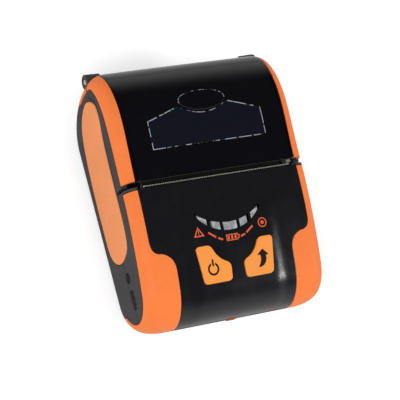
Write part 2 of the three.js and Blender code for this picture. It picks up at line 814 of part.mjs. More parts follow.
function frontPanel() {
  let solid = padded.subtract(underSkin).intersect(panelSpace(0));
  [-1, 1].forEach((side) => {
    solid = solid.subtract(planPrism(keyShape(side, gap), 0, bodyHeight + overrun));
  });
  lightSpans().forEach(([from, to]) => {
    solid = solid.subtract(planPrism(lightShape(from, to, gap), 0, bodyHeight + overrun));
  });
  return solid;
}

function bumper(side) {
  return outerSkin.intersect(bumperSpace(0)).intersect(halfSpace(side));
}

function rearTrim(side) {
  const hole = rodX(knuckleRadius + gap, ...spanX(side, stripX - gap, halfWidth + overrun), hingeY, hingeZ);
  return outerSkin.intersect(trimSpace(0)).intersect(halfSpace(side)).subtract(hole);
}

function grip(side) {
  const [x0, x1] = spanX(side, halfWidth - gripDepth + gap, halfWidth + gripProud);
  return sidePrism(gripShape(-gap), x0, x1);
}

function windowShape(grow) {
  const shape = new THREE.Shape();
  shape.moveTo(-windowHalf - grow, windowNearY - grow);
  shape.lineTo(windowHalf + grow, windowNearY - grow);
  shape.lineTo(windowHalf + grow, windowShoulderY + grow);
  shape.lineTo(windowPeakX + grow, windowPeakY + grow);
  shape.quadraticCurveTo(0, 2 * windowHollowY - windowPeakY + grow, -windowPeakX - grow, windowPeakY + grow);
  shape.lineTo(-windowHalf - grow, windowShoulderY + grow);
  return shape;
}

function lidCover() {
  const middle = block(gap / 2 - stripX, stripX - gap / 2, 0, farEndY + overrun, 0, bodyHeight + overrun);
  const opening = planPrism(windowShape(0), farBulgeZ, bodyHeight + overrun);
  const dish = new THREE.SphereGeometry(1, roundSides, roundSides / 2);
  dish.scale(dimpleHalfX, dimpleHalfY, dimpleDepth).translate(dimpleX, dimpleY, bodyHeight + crownRise / 2);
  const hinge = bothSides((side) => rodX(knuckleRadius + 2 * gap,
    ...spanX(side, knuckleInnerX - gap, halfWidth), hingeY, hingeZ));
  return outerSkin.intersect(lidSpace).intersect(middle).subtract(opening).subtract(solidOf(dish)).subtract(hinge);
}

function lidTrim(side) {
  const [x0, x1] = spanX(side, stripX + gap / 2, halfWidth + overrun);
  const strip = block(x0, x1, 0, farEndY + overrun, 0, bodyHeight + overrun);
  const hinge = rodX(knuckleRadius + 2 * gap, x0, x1, hingeY, hingeZ);
  return outerSkin.intersect(lidSpace).intersect(strip).subtract(sideFace(0)).subtract(hinge);
}

function lidWindow() {
  const pane = bodySolid(gap / 2).subtract(underSkin);
  return pane.intersect(planPrism(windowShape(-gap), farBulgeZ, bodyHeight + overrun));
}

function lidArm(side) {
  const [x0, x1] = spanX(side, armX, armX + arm);
  const eye = rodX(armRadius, x0, x1, platenY, platenZ);
  const web = block(x0, x1, platenY - armRadius, platenY + armRadius, platenZ, throatZ - skin);
  return joined(eye, web).intersect(onLedge);
}

function lidKnuckle(side) {
  const [x0, x1] = spanX(side, knuckleInnerX, knuckleMidX);
  const round = rodX(lidKnuckleRadius, x0, x1, hingeY, hingeZ);
  const web = block(x0, x1, hingeY - hingeWeb - 2 * ledge, hingeY - ledge, hingeZ, farBulgeZ + knuckleRadius);
  return joined(round, web.intersect(onLedge));
}

function lidFrame() {
  const bands = outer.subtract(inside).intersect(sideFace(gap));
  const liner = onLedge.subtract(inside);
  let solid = joined(bands, liner).intersect(lidSpace);
  solid = solid.subtract(planPrism(windowShape(-frameLedge), farBulgeZ, bodyHeight + overrun));
  solid = solid.add(bothSides(lidArm));
  const clearOfPin = bothSides((side) => rodX(knuckleRadius + 2 * gap,
    ...spanX(side, knuckleMidX, halfWidth + overrun), hingeY, hingeZ));
  solid = solid.subtract(clearOfPin).add(bothSides(lidKnuckle));
  const shaftHole = rodX(shaftRadius + gap, -armX - arm - gap, armX + arm + gap, platenY, platenZ, smallSides);
  return solid.subtract(shaftHole).subtract(bothSides((side) => pinHole(side, gap)));
}

// Unit vectors of the nip in (y, z): away from the platen to the head, and up along the head
function nip() {
  const reach = new THREE.Vector2(platenY - hingeY, platenZ - hingeZ).normalize();
  return { out: reach, up: new THREE.Vector2(reach.y, -reach.x) };
}

function nipPlate(outFrom, outTo, upFrom, upTo, halfLength) {
  const { out, up } = nip();
  const corner = (o, u) => [
    platenY + out.x * (platenRadius + o) + up.x * u, platenZ + out.y * (platenRadius + o) + up.y * u];
  const points = [corner(outTo, upFrom), corner(outFrom, upFrom), corner(outFrom, upTo), corner(outTo, upTo)];
  return sidePrism(shapeOf(points), -halfLength, halfLength);
}

function thermalHead() {
  return nipPlate(gap, gap + headThickness, -headBelow, headAbove, paperHalf);
}

function heatSink() {
  const back = 2 * gap + headThickness;
  return nipPlate(back, back + sinkThickness, -sinkBelow, sinkAbove, paperHalf + headThickness);
}

// A compression spring along +Z from the origin
function coilSpring(radius, length, turns, wire) {
  const steps = turns * turnSteps;
  const rise = length - 2 * wire;
  const points = Array.from({ length: steps + 1 }, (unused, step) => {
    const angle = step * 2 * Math.PI / turnSteps;
    return new THREE.Vector3((radius - wire) * Math.cos(angle), (radius - wire) * Math.sin(angle),
      wire + rise * step / steps);
  });
  const path = new THREE.CatmullRomCurve3(points);
  const circle = new THREE.Shape().absarc(0, 0, wire, 0, 2 * Math.PI, false);
  return new THREE.ExtrudeGeometry(circle, { extrudePath: path, steps, curveSegments: wireSides, bevelEnabled: false });
}

function headSpringPlace() {
  const { out } = nip();
  const reach = platenRadius + 2 * gap + headThickness + sinkThickness + gap;
  const y = platenY + out.x * reach;
  return { y, z: platenZ + out.y * reach, length: y - gap - frameNearY - plate };
}

function mechanismFrame() {
  const { up } = nip();
  const floorZ = skin + gap;
  const outline = shapeOf([
    [frameNearY, floorZ], [frameLowFarY, floorZ], [frameLowFarY, frameStepZ], [frameHighFarY, frameStepZ],
    [frameHighFarY, frameTopZ], [frameNearY, frameTopZ],
  ]);
  const slotHalf = bushRadius + gap;
  const slotReach = 4 * platenRadius;
  const across = new THREE.Vector2(-up.y, up.x).multiplyScalar(slotHalf);
  const slotPoints = [
    [platenY - across.x, platenZ - across.y], [platenY + across.x, platenZ + across.y],
    [platenY + across.x + up.x * slotReach, platenZ + across.y + up.y * slotReach],
    [platenY - across.x + up.x * slotReach, platenZ - across.y + up.y * slotReach],
  ];
  const slot = sidePrism(shapeOf(slotPoints.reverse()), -halfWidth, halfWidth)
    .add(rodX(slotHalf, -halfWidth, halfWidth, platenY, platenZ));
  const sides = bothSides((side) => sidePrism(outline, ...spanX(side, plateX, plateX + plate)));
  const cross = block(-plateX - plate / 2, plateX + plate / 2, frameNearY, frameNearY + plate, frameCrossZ,
    frameTopZ);
  const pinion = pinionPlace();
  const idler = idlerPlace();
  const motorHole = rodX(motorCollar + gap, 0, halfWidth, pinion.y, pinion.z);
  const axleHole = rodX(idlerAxleRadius + gap, 0, halfWidth, idler.y, idler.z, smallSides);
  return sides.add(cross).subtract(slot).subtract(motorHole).subtract(axleHole);
}

function tearBar() {
  const teeth = Math.round(2 * tearHalf / tearPitch);
  const pitch = 2 * tearHalf / teeth;
  const points = [[-tearHalf, frameTopZ + gap], [tearHalf, frameTopZ + gap]];
  for (let tooth = teeth; tooth > 0; tooth -= 1) {
    const x = -tearHalf + tooth * pitch;
    points.push([x, tearTopZ - tearTooth], [x - pitch / 2, tearTopZ]);
  }
  points.push([-tearHalf, tearTopZ - tearTooth]);
  const blade = solidOf(extruded(shapeOf(points), tearThickness).rotateX(rightAngle)
    .translate(0, tearY + tearThickness, 0));
  const foot = block(-tearHalf, tearHalf, frameNearY, tearY + tearThickness / 2, frameTopZ + gap,
    frameTopZ + gap + tearThickness);
  return blade.add(foot);
}

// A spur gear outline about the origin with a tooth centred on the given bearing
function gearShape(teeth, bearing) {
  const pitchRadius = gearModule * teeth / 2;
  const baseRadius = pitchRadius * Math.cos(pressureAngle);
  const involute = (angle) => Math.tan(angle) - angle;
  const halfTooth = Math.PI / (2 * teeth) - toothSlack / (2 * pitchRadius);
  const halfAt = (radius) => halfTooth + involute(pressureAngle)
    - involute(Math.acos(Math.min(1, baseRadius / radius)));
  const radii = [pitchRadius - rootShare * gearModule, pitchRadius, pitchRadius + tipShare * gearModule];
  const points = [];
  for (let tooth = 0; tooth < teeth; tooth += 1) {
    const middle = bearing + 2 * Math.PI * tooth / teeth;
    radii.forEach((radius) => points.push([radius, middle - halfAt(radius)]));
    [...radii].reverse().forEach((radius) => points.push([radius, middle + halfAt(radius)]));
  }
  return shapeOf(points.map(([radius, angle]) => [radius * Math.cos(angle), radius * Math.sin(angle)]));
}

function gearSolid(teeth, bearing, boreRadius) {
  const shape = gearShape(teeth, bearing);
  return sidePrism(shape, 0, gearWidth).subtract(rodX(boreRadius, -gap, gearWidth + gap, 0, 0, smallSides));
}

function meshDistance(teethA, teethB) {
  return gearModule * (teethA + teethB) / 2 + meshSlack;
}

function idlerPlace() {
  const { up } = nip();
  const distance = meshDistance(platenTeeth, idlerTeeth);
  return { y: platenY - up.x * distance, z: platenZ - up.y * distance };
}

function pinionPlace() {
  const idler = idlerPlace();
  const distance = meshDistance(idlerTeeth, pinionTeeth);
  return { y: idler.y + Math.cos(pinionBearing) * distance, z: idler.z + Math.sin(pinionBearing) * distance };
}

// Tooth bearings that put each tooth into its partner's gap
function gearBearings() {
  const { up } = nip();
  const downTrain = Math.atan2(-up.y, -up.x);
  const platen = downTrain;
  const idler = downTrain + Math.PI + Math.PI / idlerTeeth;
  const offset = pinionBearing - idler;
  const pinion = pinionBearing + Math.PI + Math.PI / pinionTeeth + offset * idlerTeeth / pinionTeeth;
  return { platen, idler, pinion };
}

function platenRoller() {
  const half = paperHalf + gap;
  return rodX(platenRadius, -half, half, 0, 0).subtract(rodX(shaftRadius + gap, -half - gap, half + gap, 0, 0,
    smallSides));
}

function platenShaft() {
  return rodX(shaftRadius, -armX - arm - gap, gearX + gearWidth + gap, 0, 0, smallSides);
}

function platenBush(side) {
  const inner = paperHalf + 2 * gap;
  const [x0, x1] = spanX(side, inner + gap, armX - gap);
  const [f0, f1] = spanX(side, inner + gap, plateX - gap);
  const sleeve = rodX(bushRadius, x0, x1, 0, 0);
  const flange = rodX(bushRadius + bushFlange, f0, f1, 0, 0);
  return joined(sleeve, flange).subtract(rodX(shaftRadius + gap, -halfWidth, halfWidth, 0, 0, smallSides));
}

function stepperMotor() {
  const faceX = plateX - gap;
  const can = rodX(motorRadius, faceX - motorLength, faceX, 0, 0);
  const collar = rodX(motorCollar, faceX, plateX + plate, 0, 0, smallSides);
  const bore = rodX(motorShaftRadius + gap, faceX - skin, plateX + plate + gap, 0, 0, smallSides);
  return joined(can, collar).subtract(bore);
}

function drivePinion() {
  return gearSolid(pinionTeeth, gearBearings().pinion, motorShaftRadius + gap);
}

// A trough in side view, with its far side carried up to a height
function troughShape(margin, topZ) {
  const profile = new THREE.Shape();
  const radius = trayRadius + margin;
  profile.absellipse(trayY, trayCentreZ, radius, trayDepth + margin, Math.PI, 2 * Math.PI, false);
  profile.lineTo(trayY + radius, topZ);
  return profile;
}

function paperTray() {
  const outside = sidePrism(troughShape(trayWall, trayTopZ), -trayHalf - trayEnd, trayHalf + trayEnd, roundSides);
  const room = sidePrism(troughShape(0, bodyHeight), -trayHalf, trayHalf, roundSides)
    .add(block(-trayHalf, trayHalf, trayY - trayRadius, trayY + trayRadius, trayCentreZ, bodyHeight));
  return outside.subtract(room);
}

function paperSensor() {
  const farY = trayNearY - gap;
  return block(sensorX - sensorSize / 2, sensorX + sensorSize / 2, farY - sensorDepth, farY,
    trayCentreZ - sensorSize / 2, trayCentreZ);
}

function batteryPack() {
  const cover = planPrism(shapeOf([
    [-packHalf, packNearY], [packHalf, packNearY], [packHalf, packFarY], [-packHalf, packFarY]]), -gap, packTopZ);
  return outer.intersect(cover);
}

function latchLowZ() {
  return caseSplitZ - gap - latchHeight;
}

function latchFlangeY() {
  return nearEndY + deepWall + 2 * gap;
}

function batteryLatch() {
  const z0 = latchLowZ();
  const z1 = caseSplitZ - gap;
  const y = latchFlangeY();
  const nub = block(-latchHalf, latchHalf, nearEndY - latchProud, y + latchFlange, z0, z1);
  const flange = block(-latchFlangeHalf, latchFlangeHalf, y, y + latchFlange, z0, z1);
  return nub.add(flange);
}

// From the latch's flange to the wall of the battery bay
function latchSpring() {
  const from = latchFlangeY() + latchFlange + gap;
  return { from, length: packNearY - gap - bayWall - gap - from };
}

function mainBoard() {
  const z1 = boardTopZ;
  const middle = block(-boardHalf, boardHalf, packNearY, packFarY, z1 - board, z1);
  const socketArm = block(-boardSocketX, 0, boardSocketNearY, boardSocketFarY, z1 - board, z1);
  return middle.add(socketArm).intersect(inside);
}

function keyBoard() {
  return block(-keyBoardHalf, keyBoardHalf, keyBoardNearY, keyBoardFarY, keyBoardZ, keyBoardTopZ());
}

function keySwitch() {
  const base = block(-switchSize / 2, switchSize / 2, -switchSize / 2, switchSize / 2, 0, switchHeight * 2 / 3);
  return base.add(rodZ(switchSize / 4, 0, 0, switchHeight / 2, switchHeight, smallSides));
}

function dcJack() {
  const body = block(0, jackDepth, -jackSize / 2, jackSize / 2, -jackSize / 2, jackSize / 2);
  const bore = rodX(jackBore / 2, -gap, jackDepth - jackWall, 0, 0);
  const pin = rodX(jackPin / 2, jackWall / 2, jackDepth - jackWall / 2, 0, 0, smallSides);
  return body.subtract(bore).add(pin);
}

function usbSocket() {
  const shell = block(0, usbDepth, -usbWidth / 2, usbWidth / 2, 0, usbHeight);
  const room = block(-gap, usbDepth - usbTongue, usbSheet - usbWidth / 2, usbWidth / 2 - usbSheet, usbSheet,
    usbHeight - usbSheet);
  const tongue = block(usbTongue, usbDepth - usbTongue / 2, 2 * usbSheet - usbWidth / 2 + usbSheet,
    usbWidth / 2 - 3 * usbSheet, usbHeight / 2, usbHeight / 2 + usbTongue);
  return shell.subtract(room).add(tongue);
}

function housingScrew() {
  const head = rodZ(screwHeadRadius, 0, 0, 0, screwHead, smallSides);
  const shank = rodZ(screwRadius, 0, 0, screwHead / 2, screwHead + screwLength, smallSides);
  const slotA = block(-screwHeadRadius / 2, screwHeadRadius / 2, -crossSlot / 2, crossSlot / 2, -gap, screwHead / 2);
  const slotB = block(-crossSlot / 2, crossSlot / 2, -screwHeadRadius / 2, screwHeadRadius / 2, -gap, screwHead / 2);
  return head.add(shank).subtract(slotA).subtract(slotB);
}

function hingePin(side) {
  const [x0, x1] = spanX(side, knuckleInnerX + gap, knuckleOuterX);
  return rodX(pinRadius, x0, x1, hingeY, hingeZ, smallSides);
}

function finish(color, roughness, metalness = 0) {
  return () => new THREE.MeshStandardMaterial({ color, roughness, metalness });
}

const glossBlack = finish(0x08080c, 0.12);
const satinBlack = finish(0x1c1c20, 0.38);
const darkGrey = finish(0x4b4b4b, 0.6);
const orange = finish(0xff8f48, 0.55);
const gripOrange = finish(0xfa8c64, 0.75);
const smoked = finish(0x141620, 0.08);
const rubber = finish(0x222222, 0.85);
const steel = finish(0xc8c8c4, 0.3, 1);
const aluminium = finish(0xb8bcc0, 0.4, 1);
const acetal = finish(0xe8e4d8, 0.5);
const lens = finish(0x969ba5, 0.3);
const boardGreen = finish(0x1f5a36, 0.5);
const innerBlack = finish(0x2a2a2c, 0.6);

function piece(name, shape, material, x = 0, y = 0, z = 0) {
  const geometry = shape.isBufferGeometry ? shape : geometryOf(shape);
  const mesh = new THREE.Mesh(geometry, material());
  mesh.name = name;
  mesh.position.set(x, y, z);
  return mesh;
}

function sideName(side) {
  return side < 0 ? 'left' : 'right';
}

const base = new THREE.Group();
const lid = new THREE.Group();
const printer = new THREE.Group();
printer.add(base, lid);

base.add(piece('lower_housing', lowerHousing(), darkGrey));
base.add(piece('upper_housing', upperHousing(), darkGrey));
base.add(piece('front_panel', frontPanel(), satinBlack));
base.add(piece('paper_tray', paperTray(), innerBlack));
base.add(piece('paper_sensor', paperSensor(), innerBlack));
base.add(piece('mechanism_frame', mechanismFrame(), steel));
base.add(piece('thermal_head', thermalHead(), acetal));
base.add(piece('heat_sink', heatSink(), aluminium));
base.add(piece('tear_bar', tearBar(), steel));
base.add(piece('main_board', mainBoard(), boardGreen));
base.add(piece('key_board', keyBoard(), boardGreen));
base.add(piece('battery_pack', batteryPack(), darkGrey));
base.add(piece('battery_latch', batteryLatch(), orange));
base.add(piece('dc_jack', dcJack(), innerBlack, deepWall + gap - halfWidth, jackY, socketZ));
base.add(piece('usb_port', usbSocket(), steel, deepWall + gap - halfWidth, usbY, socketZ - usbHeight / 2));

[-1, 1].forEach((side) => {
  const name = sideName(side);
  base.add(piece(`bumper_${name}`, bumper(side), orange));
  base.add(piece(`rear_trim_${name}`, rearTrim(side), orange));
  base.add(piece(`grip_${name}`, grip(side), gripOrange));
  base.add(piece(`hinge_pin_${name}`, hingePin(side), steel));
  lid.add(piece(`lid_trim_${name}`, lidTrim(side), orange));
  lid.add(piece(`platen_bush_${name}`, platenBush(side), acetal, 0, platenY, platenZ));
  const spring = headSpringPlace();
  const coil = piece(`head_spring_${name}`, coilSpring(springRadius, spring.length, springTurns, springWire), steel,
    side * springPlaceShare * paperHalf, spring.y, spring.z);
  coil.rotation.x = rightAngle;
  base.add(coil);
});

lid.add(piece('lid_cover', lidCover(), glossBlack));
lid.add(piece('lid_frame', lidFrame(), darkGrey));
lid.add(piece('lid_window', lidWindow(), smoked));
lid.add(piece('platen_roller', platenRoller(), rubber, 0, platenY, platenZ));
lid.add(piece('platen_shaft', platenShaft(), steel, 0, platenY, platenZ));
lid.add(piece('platen_gear', gearSolid(platenTeeth, gearBearings().platen, shaftRadius + gap), acetal,
  gearX, platenY, platenZ));

const idler = idlerPlace();
const pinion = pinionPlace();
base.add(piece('idler_gear', gearSolid(idlerTeeth, gearBearings().idler, idlerAxleRadius + gap), acetal,
  gearX, idler.y, idler.z));
base.add(piece('idler_axle', rodX(idlerAxleRadius, plateX + plate / 2, gearX + gearWidth + gap, 0, 0, smallSides), steel,
  0, idler.y, idler.z));
base.add(piece('drive_pinion', drivePinion(), acetal, gearX, pinion.y, pinion.z));
base.add(piece('motor_shaft', rodX(motorShaftRadius, plateX - skin, gearX + gearWidth, 0, 0, smallSides), steel,
  0, pinion.y, pinion.z));
base.add(piece('stepper_motor', stepperMotor(), steel, 0, pinion.y, pinion.z));

const keyNames = { '-1': 'power', 1: 'feed' };
[-1, 1].forEach((side) => {
  base.add(piece(`${keyNames[side]}_button`, keyCap(side), orange));
  base.add(piece(`key_switch_${keyNames[side]}`, keySwitch(), innerBlack, side * keyStem().x, keyStem().y,
    keyBoardTopZ() + gap));
});

lightSpans().forEach((span, index) => {
  base.add(piece(`light_guide_${index + 1}`, lightGuide(span), lens));
});

screwPlaces().forEach(([x, y], index) => {
  base.add(piece(`housing_screw_${index + 1}`, housingScrew(), steel, x, y, screwSink));
});

const latchCoil = latchSpring();
const coil = piece('latch_spring', coilSpring(latchSpringRadius, latchCoil.length, springTurns, springWire), steel,
  0, latchCoil.from, latchLowZ() + latchHeight / 2);
coil.rotation.x = -rightAngle;
base.add(coil);

export default printer;
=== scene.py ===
"""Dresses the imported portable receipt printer: shells, lid, keys, sockets, print mechanism, finishes and stage."""

import functools
import math

import bpy
from mathutils import Matrix, Vector
from mathutils.bvhtree import BVHTree


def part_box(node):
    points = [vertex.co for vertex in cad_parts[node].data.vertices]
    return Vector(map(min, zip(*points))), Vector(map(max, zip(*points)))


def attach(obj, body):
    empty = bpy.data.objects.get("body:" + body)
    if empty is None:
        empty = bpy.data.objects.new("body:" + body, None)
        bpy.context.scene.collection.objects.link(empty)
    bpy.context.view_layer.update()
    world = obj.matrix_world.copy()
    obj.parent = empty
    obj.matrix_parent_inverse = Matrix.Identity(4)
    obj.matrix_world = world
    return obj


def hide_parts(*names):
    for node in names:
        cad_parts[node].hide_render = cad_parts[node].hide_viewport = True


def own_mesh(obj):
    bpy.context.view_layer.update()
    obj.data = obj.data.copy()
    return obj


bl_info = {
    "name": "Portable receipt printer",
    "version": (1, 0, 0),
    "blender": (4, 5, 0),
    "location": "View3D > Sidebar > Receipt printer",
    "description": "Models and finishes the visible pieces of a portable receipt printer on its packed frame",
    "category": "Object",
}

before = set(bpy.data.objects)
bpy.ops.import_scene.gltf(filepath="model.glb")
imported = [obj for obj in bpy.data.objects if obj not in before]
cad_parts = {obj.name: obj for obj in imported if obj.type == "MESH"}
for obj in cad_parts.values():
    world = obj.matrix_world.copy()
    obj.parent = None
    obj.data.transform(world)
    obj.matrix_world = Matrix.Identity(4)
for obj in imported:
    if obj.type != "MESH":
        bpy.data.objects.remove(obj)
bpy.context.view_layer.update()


def mm(value):
    """A length in millimetres, in metres."""
    return value * 0.001


# Driving sizes, from the frame
CASE_LOW, CASE_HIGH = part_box("lower_housing")
HALF_WIDTH = CASE_HIGH.x
NEAR_END = CASE_LOW.y
FAR_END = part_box("lid_cover")[1].y
CROWN = mm(0.5)
HEIGHT = mm(57.8)
THROAT_Y = mm(4)
THROAT_Z = HEIGHT - mm(3.5)
BROW_Y = NEAR_END + mm(16.85)
BROW_Z = THROAT_Z - mm(9)
SPLIT_Z = BROW_Z - mm(19.3)
NOSE_Z = SPLIT_Z - mm(1)
HINGE_Y = FAR_END - mm(0.7)
HINGE_Z = THROAT_Z - mm(21.3)
BULGE_Z = HINGE_Z + mm(6)
FLOOR_NEAR = NEAR_END + mm(21.35)
FLOOR_FAR = FAR_END - mm(31)
LID_PEAK = FAR_END - mm(30.25)

# How far the forms that cut the body reach past it
OVERRUN = mm(30)
WIDE = HALF_WIDTH + OVERRUN
TALL = HEIGHT + OVERRUN
DEEP = -OVERRUN
OUT_NEAR = NEAR_END - OVERRUN
OUT_FAR = FAR_END + OVERRUN

# Edge rounding of the small pieces
BOARD_EDGE = mm(0.1)
SHEET_EDGE = mm(0.12)
MOULD_EDGE = mm(0.15)
SMALL_EDGE = mm(0.2)

# Walls, clearances and partings
HAIR = mm(0.01)
GAP = mm(0.3)
SKIN = mm(2)
LEDGE = mm(1.3)
DEEP_WALL = SKIN + GAP + LEDGE
STRIP_X = HALF_WIDTH - mm(6.1)
SLOT_LID_Y = mm(3.9)
SLOT_PANEL_Y = mm(-0.4)
STRIP_END_Y = mm(-0.95)
BAND_LID_Y = mm(2.6)
BAND_CASE_Y = mm(0.8)
BAND_TOP_Z = THROAT_Z - mm(6.2)
LID_TAIL_Z = HINGE_Z + mm(4)
DECK_END_Y = mm(-8)
FAR_CORNER_Y = FAR_END - mm(12.25)
FAR_CORNER_X = STRIP_X - mm(3.4)
BUMPER_FOOT_Y = NEAR_END + mm(13.35)
BUMPER_FOOT_Z = SPLIT_Z + mm(4)
TRIM_NEAR_Y = FAR_END - mm(9.75)
TRIM_TOP_Z = HINGE_Z + mm(3)
TRIM_FOOT_Z = TRIM_TOP_Z - mm(22)

# Side outline: each corner's place, the spread and drop of its rounded edge, the handles of the curve from it to
# the next as shares of the way, and that curve's steps
OUTLINE = [
    (FLOOR_NEAR, 0, mm(9), mm(9), ((1 / 3, 1 / 3), (2 / 3, 2 / 3)), 6),
    (FLOOR_FAR, 0, mm(9), mm(9), ((0.552, 0), (1, 0.448)), 32),
    (FAR_END, BULGE_Z, mm(10), mm(7), ((0, 0.585), (0.471, 1)), 32),
    (LID_PEAK, HEIGHT, mm(6.1), mm(8), ((0.294, 0), (0.647, 0.743)), 20),
    (THROAT_Y, THROAT_Z, mm(6.1), mm(6.2), ((0.342, 0.078), (0.684, 0.433)), 36),
    (BROW_Y, BROW_Z, mm(9), mm(6.5), ((0.58, 0.143), (1, 0.532)), 24),
    (NEAR_END, NOSE_Z, mm(14), mm(6.5), ((0, 0.52), (0.448, 1)), 24),
]
EDGE_STEPS = 10
FLAT_STEPS = 20
FLAT_SHARE = 0.71

# Front panel: flare, key pad
FLARE_START_Y = mm(-28)
FLARE_BEND = (0.7757 * HALF_WIDTH, mm(-35.4))
FLARE_KNEE_Y = mm(-37.6)
FLARE_END = (0.6467 * HALF_WIDTH, mm(-45))
PAD_RISE = mm(0.9)
PAD_TOP_X = 0.4206 * HALF_WIDTH
PAD_FOOT_X = PAD_TOP_X + mm(6.1)
PAD_START_Y = mm(-12)
PAD_FULL_Y = mm(-32)
PAD_FADE_Z = SPLIT_Z + mm(1)
PAD_FULL_Z = BROW_Z - mm(5.3)

# Side grips; the outline as shares of their length from the near end and of their height
GRIP_NEAR_Y = mm(-31.6)
GRIP_FAR_Y = FAR_END - mm(11.65)
GRIP_LOW_Z = mm(12)
GRIP_HIGH_Z = THROAT_Z - mm(10.7)
GRIP_DEPTH = mm(1.2)
GRIP_PROUD = mm(0.5)
GRIP_RIM = mm(1)
GRIP_OUTLINE = [
    (0, 0.38), (0.05, 0.73), (0.15, 0.84), (0.47, 0.885), (0.72, 0.93), (0.87, 1), (0.95, 0.95),
    (1, 0.7), (0.97, 0.43), (0.88, 0.2), (0.68, 0.06), (0.25, 0), (0.08, 0.03), (0.02, 0.16),
]

# Window and finger dimple in the lid
WINDOW_HALF = STRIP_X - mm(13.4)
WINDOW_NEAR_Y = SLOT_LID_Y + mm(14.3)
WINDOW_SHOULDER_Y = LID_PEAK - mm(4)
WINDOW_PEAK_X = 0.438 * WINDOW_HALF
WINDOW_PEAK_Y = LID_PEAK + mm(2.1)
WINDOW_HOLLOW_Y = LID_PEAK - mm(2.6)
# Width of the pale line painted round the pane as the highlight its edge catches
PANE_HIGHLIGHT_WIDTH = mm(0.4)
LID_LINE_X = STRIP_X - mm(1.7)
LID_LINE_NEAR_Y = mm(5)
LID_LINE_FAR_Y = mm(54)
LID_LINE = mm(0.4)
LID_LINE_DEPTH = mm(0.3)
DIMPLE_X = mm(0.4)
DIMPLE_Y = LID_PEAK + mm(4.3)
DIMPLE_HALF_X = WINDOW_PEAK_X - mm(1.3)
DIMPLE_HALF_Y = mm(6.2)
DIMPLE_DEPTH = mm(1.3)
# Width of the pale line painted on the dimple's far rim as its highlight
DIMPLE_HIGHLIGHT_WIDTH = mm(0.3)
FRAME_LEDGE = mm(2)

# Keys: each corner as shares of the pad's half width and of the key's length, which way it grows, and how much of
# it is cut off for its bend
KEY_TRAVEL = mm(0.5)
KEY_PROUD = mm(0.6)
KEY_TOP_Y = mm(-35.4)
KEY_FOOT_Y = BROW_Y - mm(0.5)
KEY_OUTLINE = [
    (1.018, 0, 1, 1, 0.107), (0.631, 0, -1, 1, 0.107), (0.48, 0.378, -1, 1, 0.222),
    (0.169, 0.541, -1, 1, 0.107), (0.187, 1, -1, -1, 0.107), (0.916, 1, 1, -1, 0.107),
]
KEY_STEM_SHARES = (0.622, 0.592)
KEY_STEM_RADIUS = mm(2)
KEY_STEM_LAP = mm(1)
SWITCH_HEIGHT = mm(3)
SWITCH_RIVETS = [(mm(x), mm(y)) for y in (-2.1, 2.1) for x in (-2.1, 2.1)]

# Lights between two arcs
ARC_HALF = PAD_TOP_X - mm(3.5)
ARC_LOW_Y = mm(-29.2)
ARC_LOW_RADIUS = 1.237 * ARC_HALF
ARC_HIGH_Y = mm(-24.8)
ARC_HIGH_RADIUS = 1.616 * ARC_HALF
LIGHT_RIB_SHARES = (-0.642, -0.258, 0.258, 0.642)
LIGHT_RIB = mm(1.5)
LIGHT_SINK = mm(0.3)
LENS_END = mm(1.1)
LENS_SIDE = mm(0.15)
LENS_EDGE = mm(0.3)
CAP_SPACING = mm(1)
CAP_EDGE_STEPS = 5
CAP_RINGS = (0.86, 0.7, 0.52, 0.34, 0.16)
MARK_RISE = mm(0.03)
MARK_DEPTH = mm(0.25)

# Hinge, platen and gear train
KNUCKLE_RADIUS = mm(4.2)
LID_KNUCKLE_RADIUS = mm(4.1)
PIN_RADIUS = mm(1.5)
KNUCKLE_OUTER_X = HALF_WIDTH - mm(2)
KNUCKLE_MID_X = HALF_WIDTH - mm(7.2)
KNUCKLE_INNER_X = HALF_WIDTH - mm(10.5)
HINGE_WEB = mm(3.4)
PAPER_HALF = HALF_WIDTH - mm(13.5)
PLATEN_Y = mm(9.5)
PLATEN_Z = THROAT_Z - mm(11.3)
PLATEN_RADIUS = mm(5)
SHAFT_RADIUS = mm(2)
BUSH_RADIUS = mm(3.7)
BUSH_FLANGE = mm(0.9)
PLATE_X = HALF_WIDTH - mm(11.7)
PLATE = mm(1.4)
ARM_X = HALF_WIDTH - mm(8.9)
ARM = mm(1.6)
ARM_RADIUS = mm(4.3)
GEAR_X = HALF_WIDTH - mm(6.6)
GEAR_WIDTH = mm(2.4)
GEAR_MODULE = mm(0.6)
PLATEN_TEETH = 20
IDLER_TEETH = 24
PINION_TEETH = 10
MESH_SLACK = mm(0.12)
TOOTH_SLACK = mm(0.12)
TOOTH_ROOT = 1.2
TOOTH_TIP = 0.9
PRESSURE_ANGLE = math.radians(20)
PINION_BEARING = math.radians(220)
IDLER_AXLE_RADIUS = mm(1.5)
MOTOR_SHAFT_RADIUS = mm(1)
MOTOR_RADIUS = mm(9)
MOTOR_LENGTH = mm(22)
MOTOR_COLLAR = mm(3)
MOTOR_NOTCHES = (0.5, 2.6, 4.7)
HEAD_THICKNESS = mm(0.9)
HEAD_BELOW = mm(5)
HEAD_ABOVE = mm(4)
SINK_THICKNESS = mm(3)
SINK_BELOW = mm(10)
SINK_ABOVE = mm(5)
SINK_ROOT = mm(1.3)
SINK_SEAT = mm(2.4)
SINK_GROOVES = (-8.9, -6.9, -4.9)
GUIDE_FOOT = mm(4.1)
SPRING_WIRE = mm(0.35)
HEAD_SPRING_RADIUS = mm(2)
LATCH_SPRING_RADIUS = mm(1.5)
FRAME_NEAR_Y = mm(-7)
FRAME_FOOT_Y = mm(8)
FRAME_FAR_Y = mm(15.4)
FRAME_TOP_Z = THROAT_Z - mm(4.6)
FRAME_HOLES = [mm(x) for x in (-28, -9.5, 9.5, 28)]
TEAR_Y = mm(0.3)
TEAR_THICKNESS = mm(0.6)
TEAR_TOP_Z = THROAT_Z - GAP
TEAR_HALF = PLATE_X + PLATE + mm(0.2)
TEAR_TOOTH = mm(0.7)
TEAR_PITCH = mm(1.1)
TEAR_HOLES = [mm(x) for x in (-33, 0, 33)]

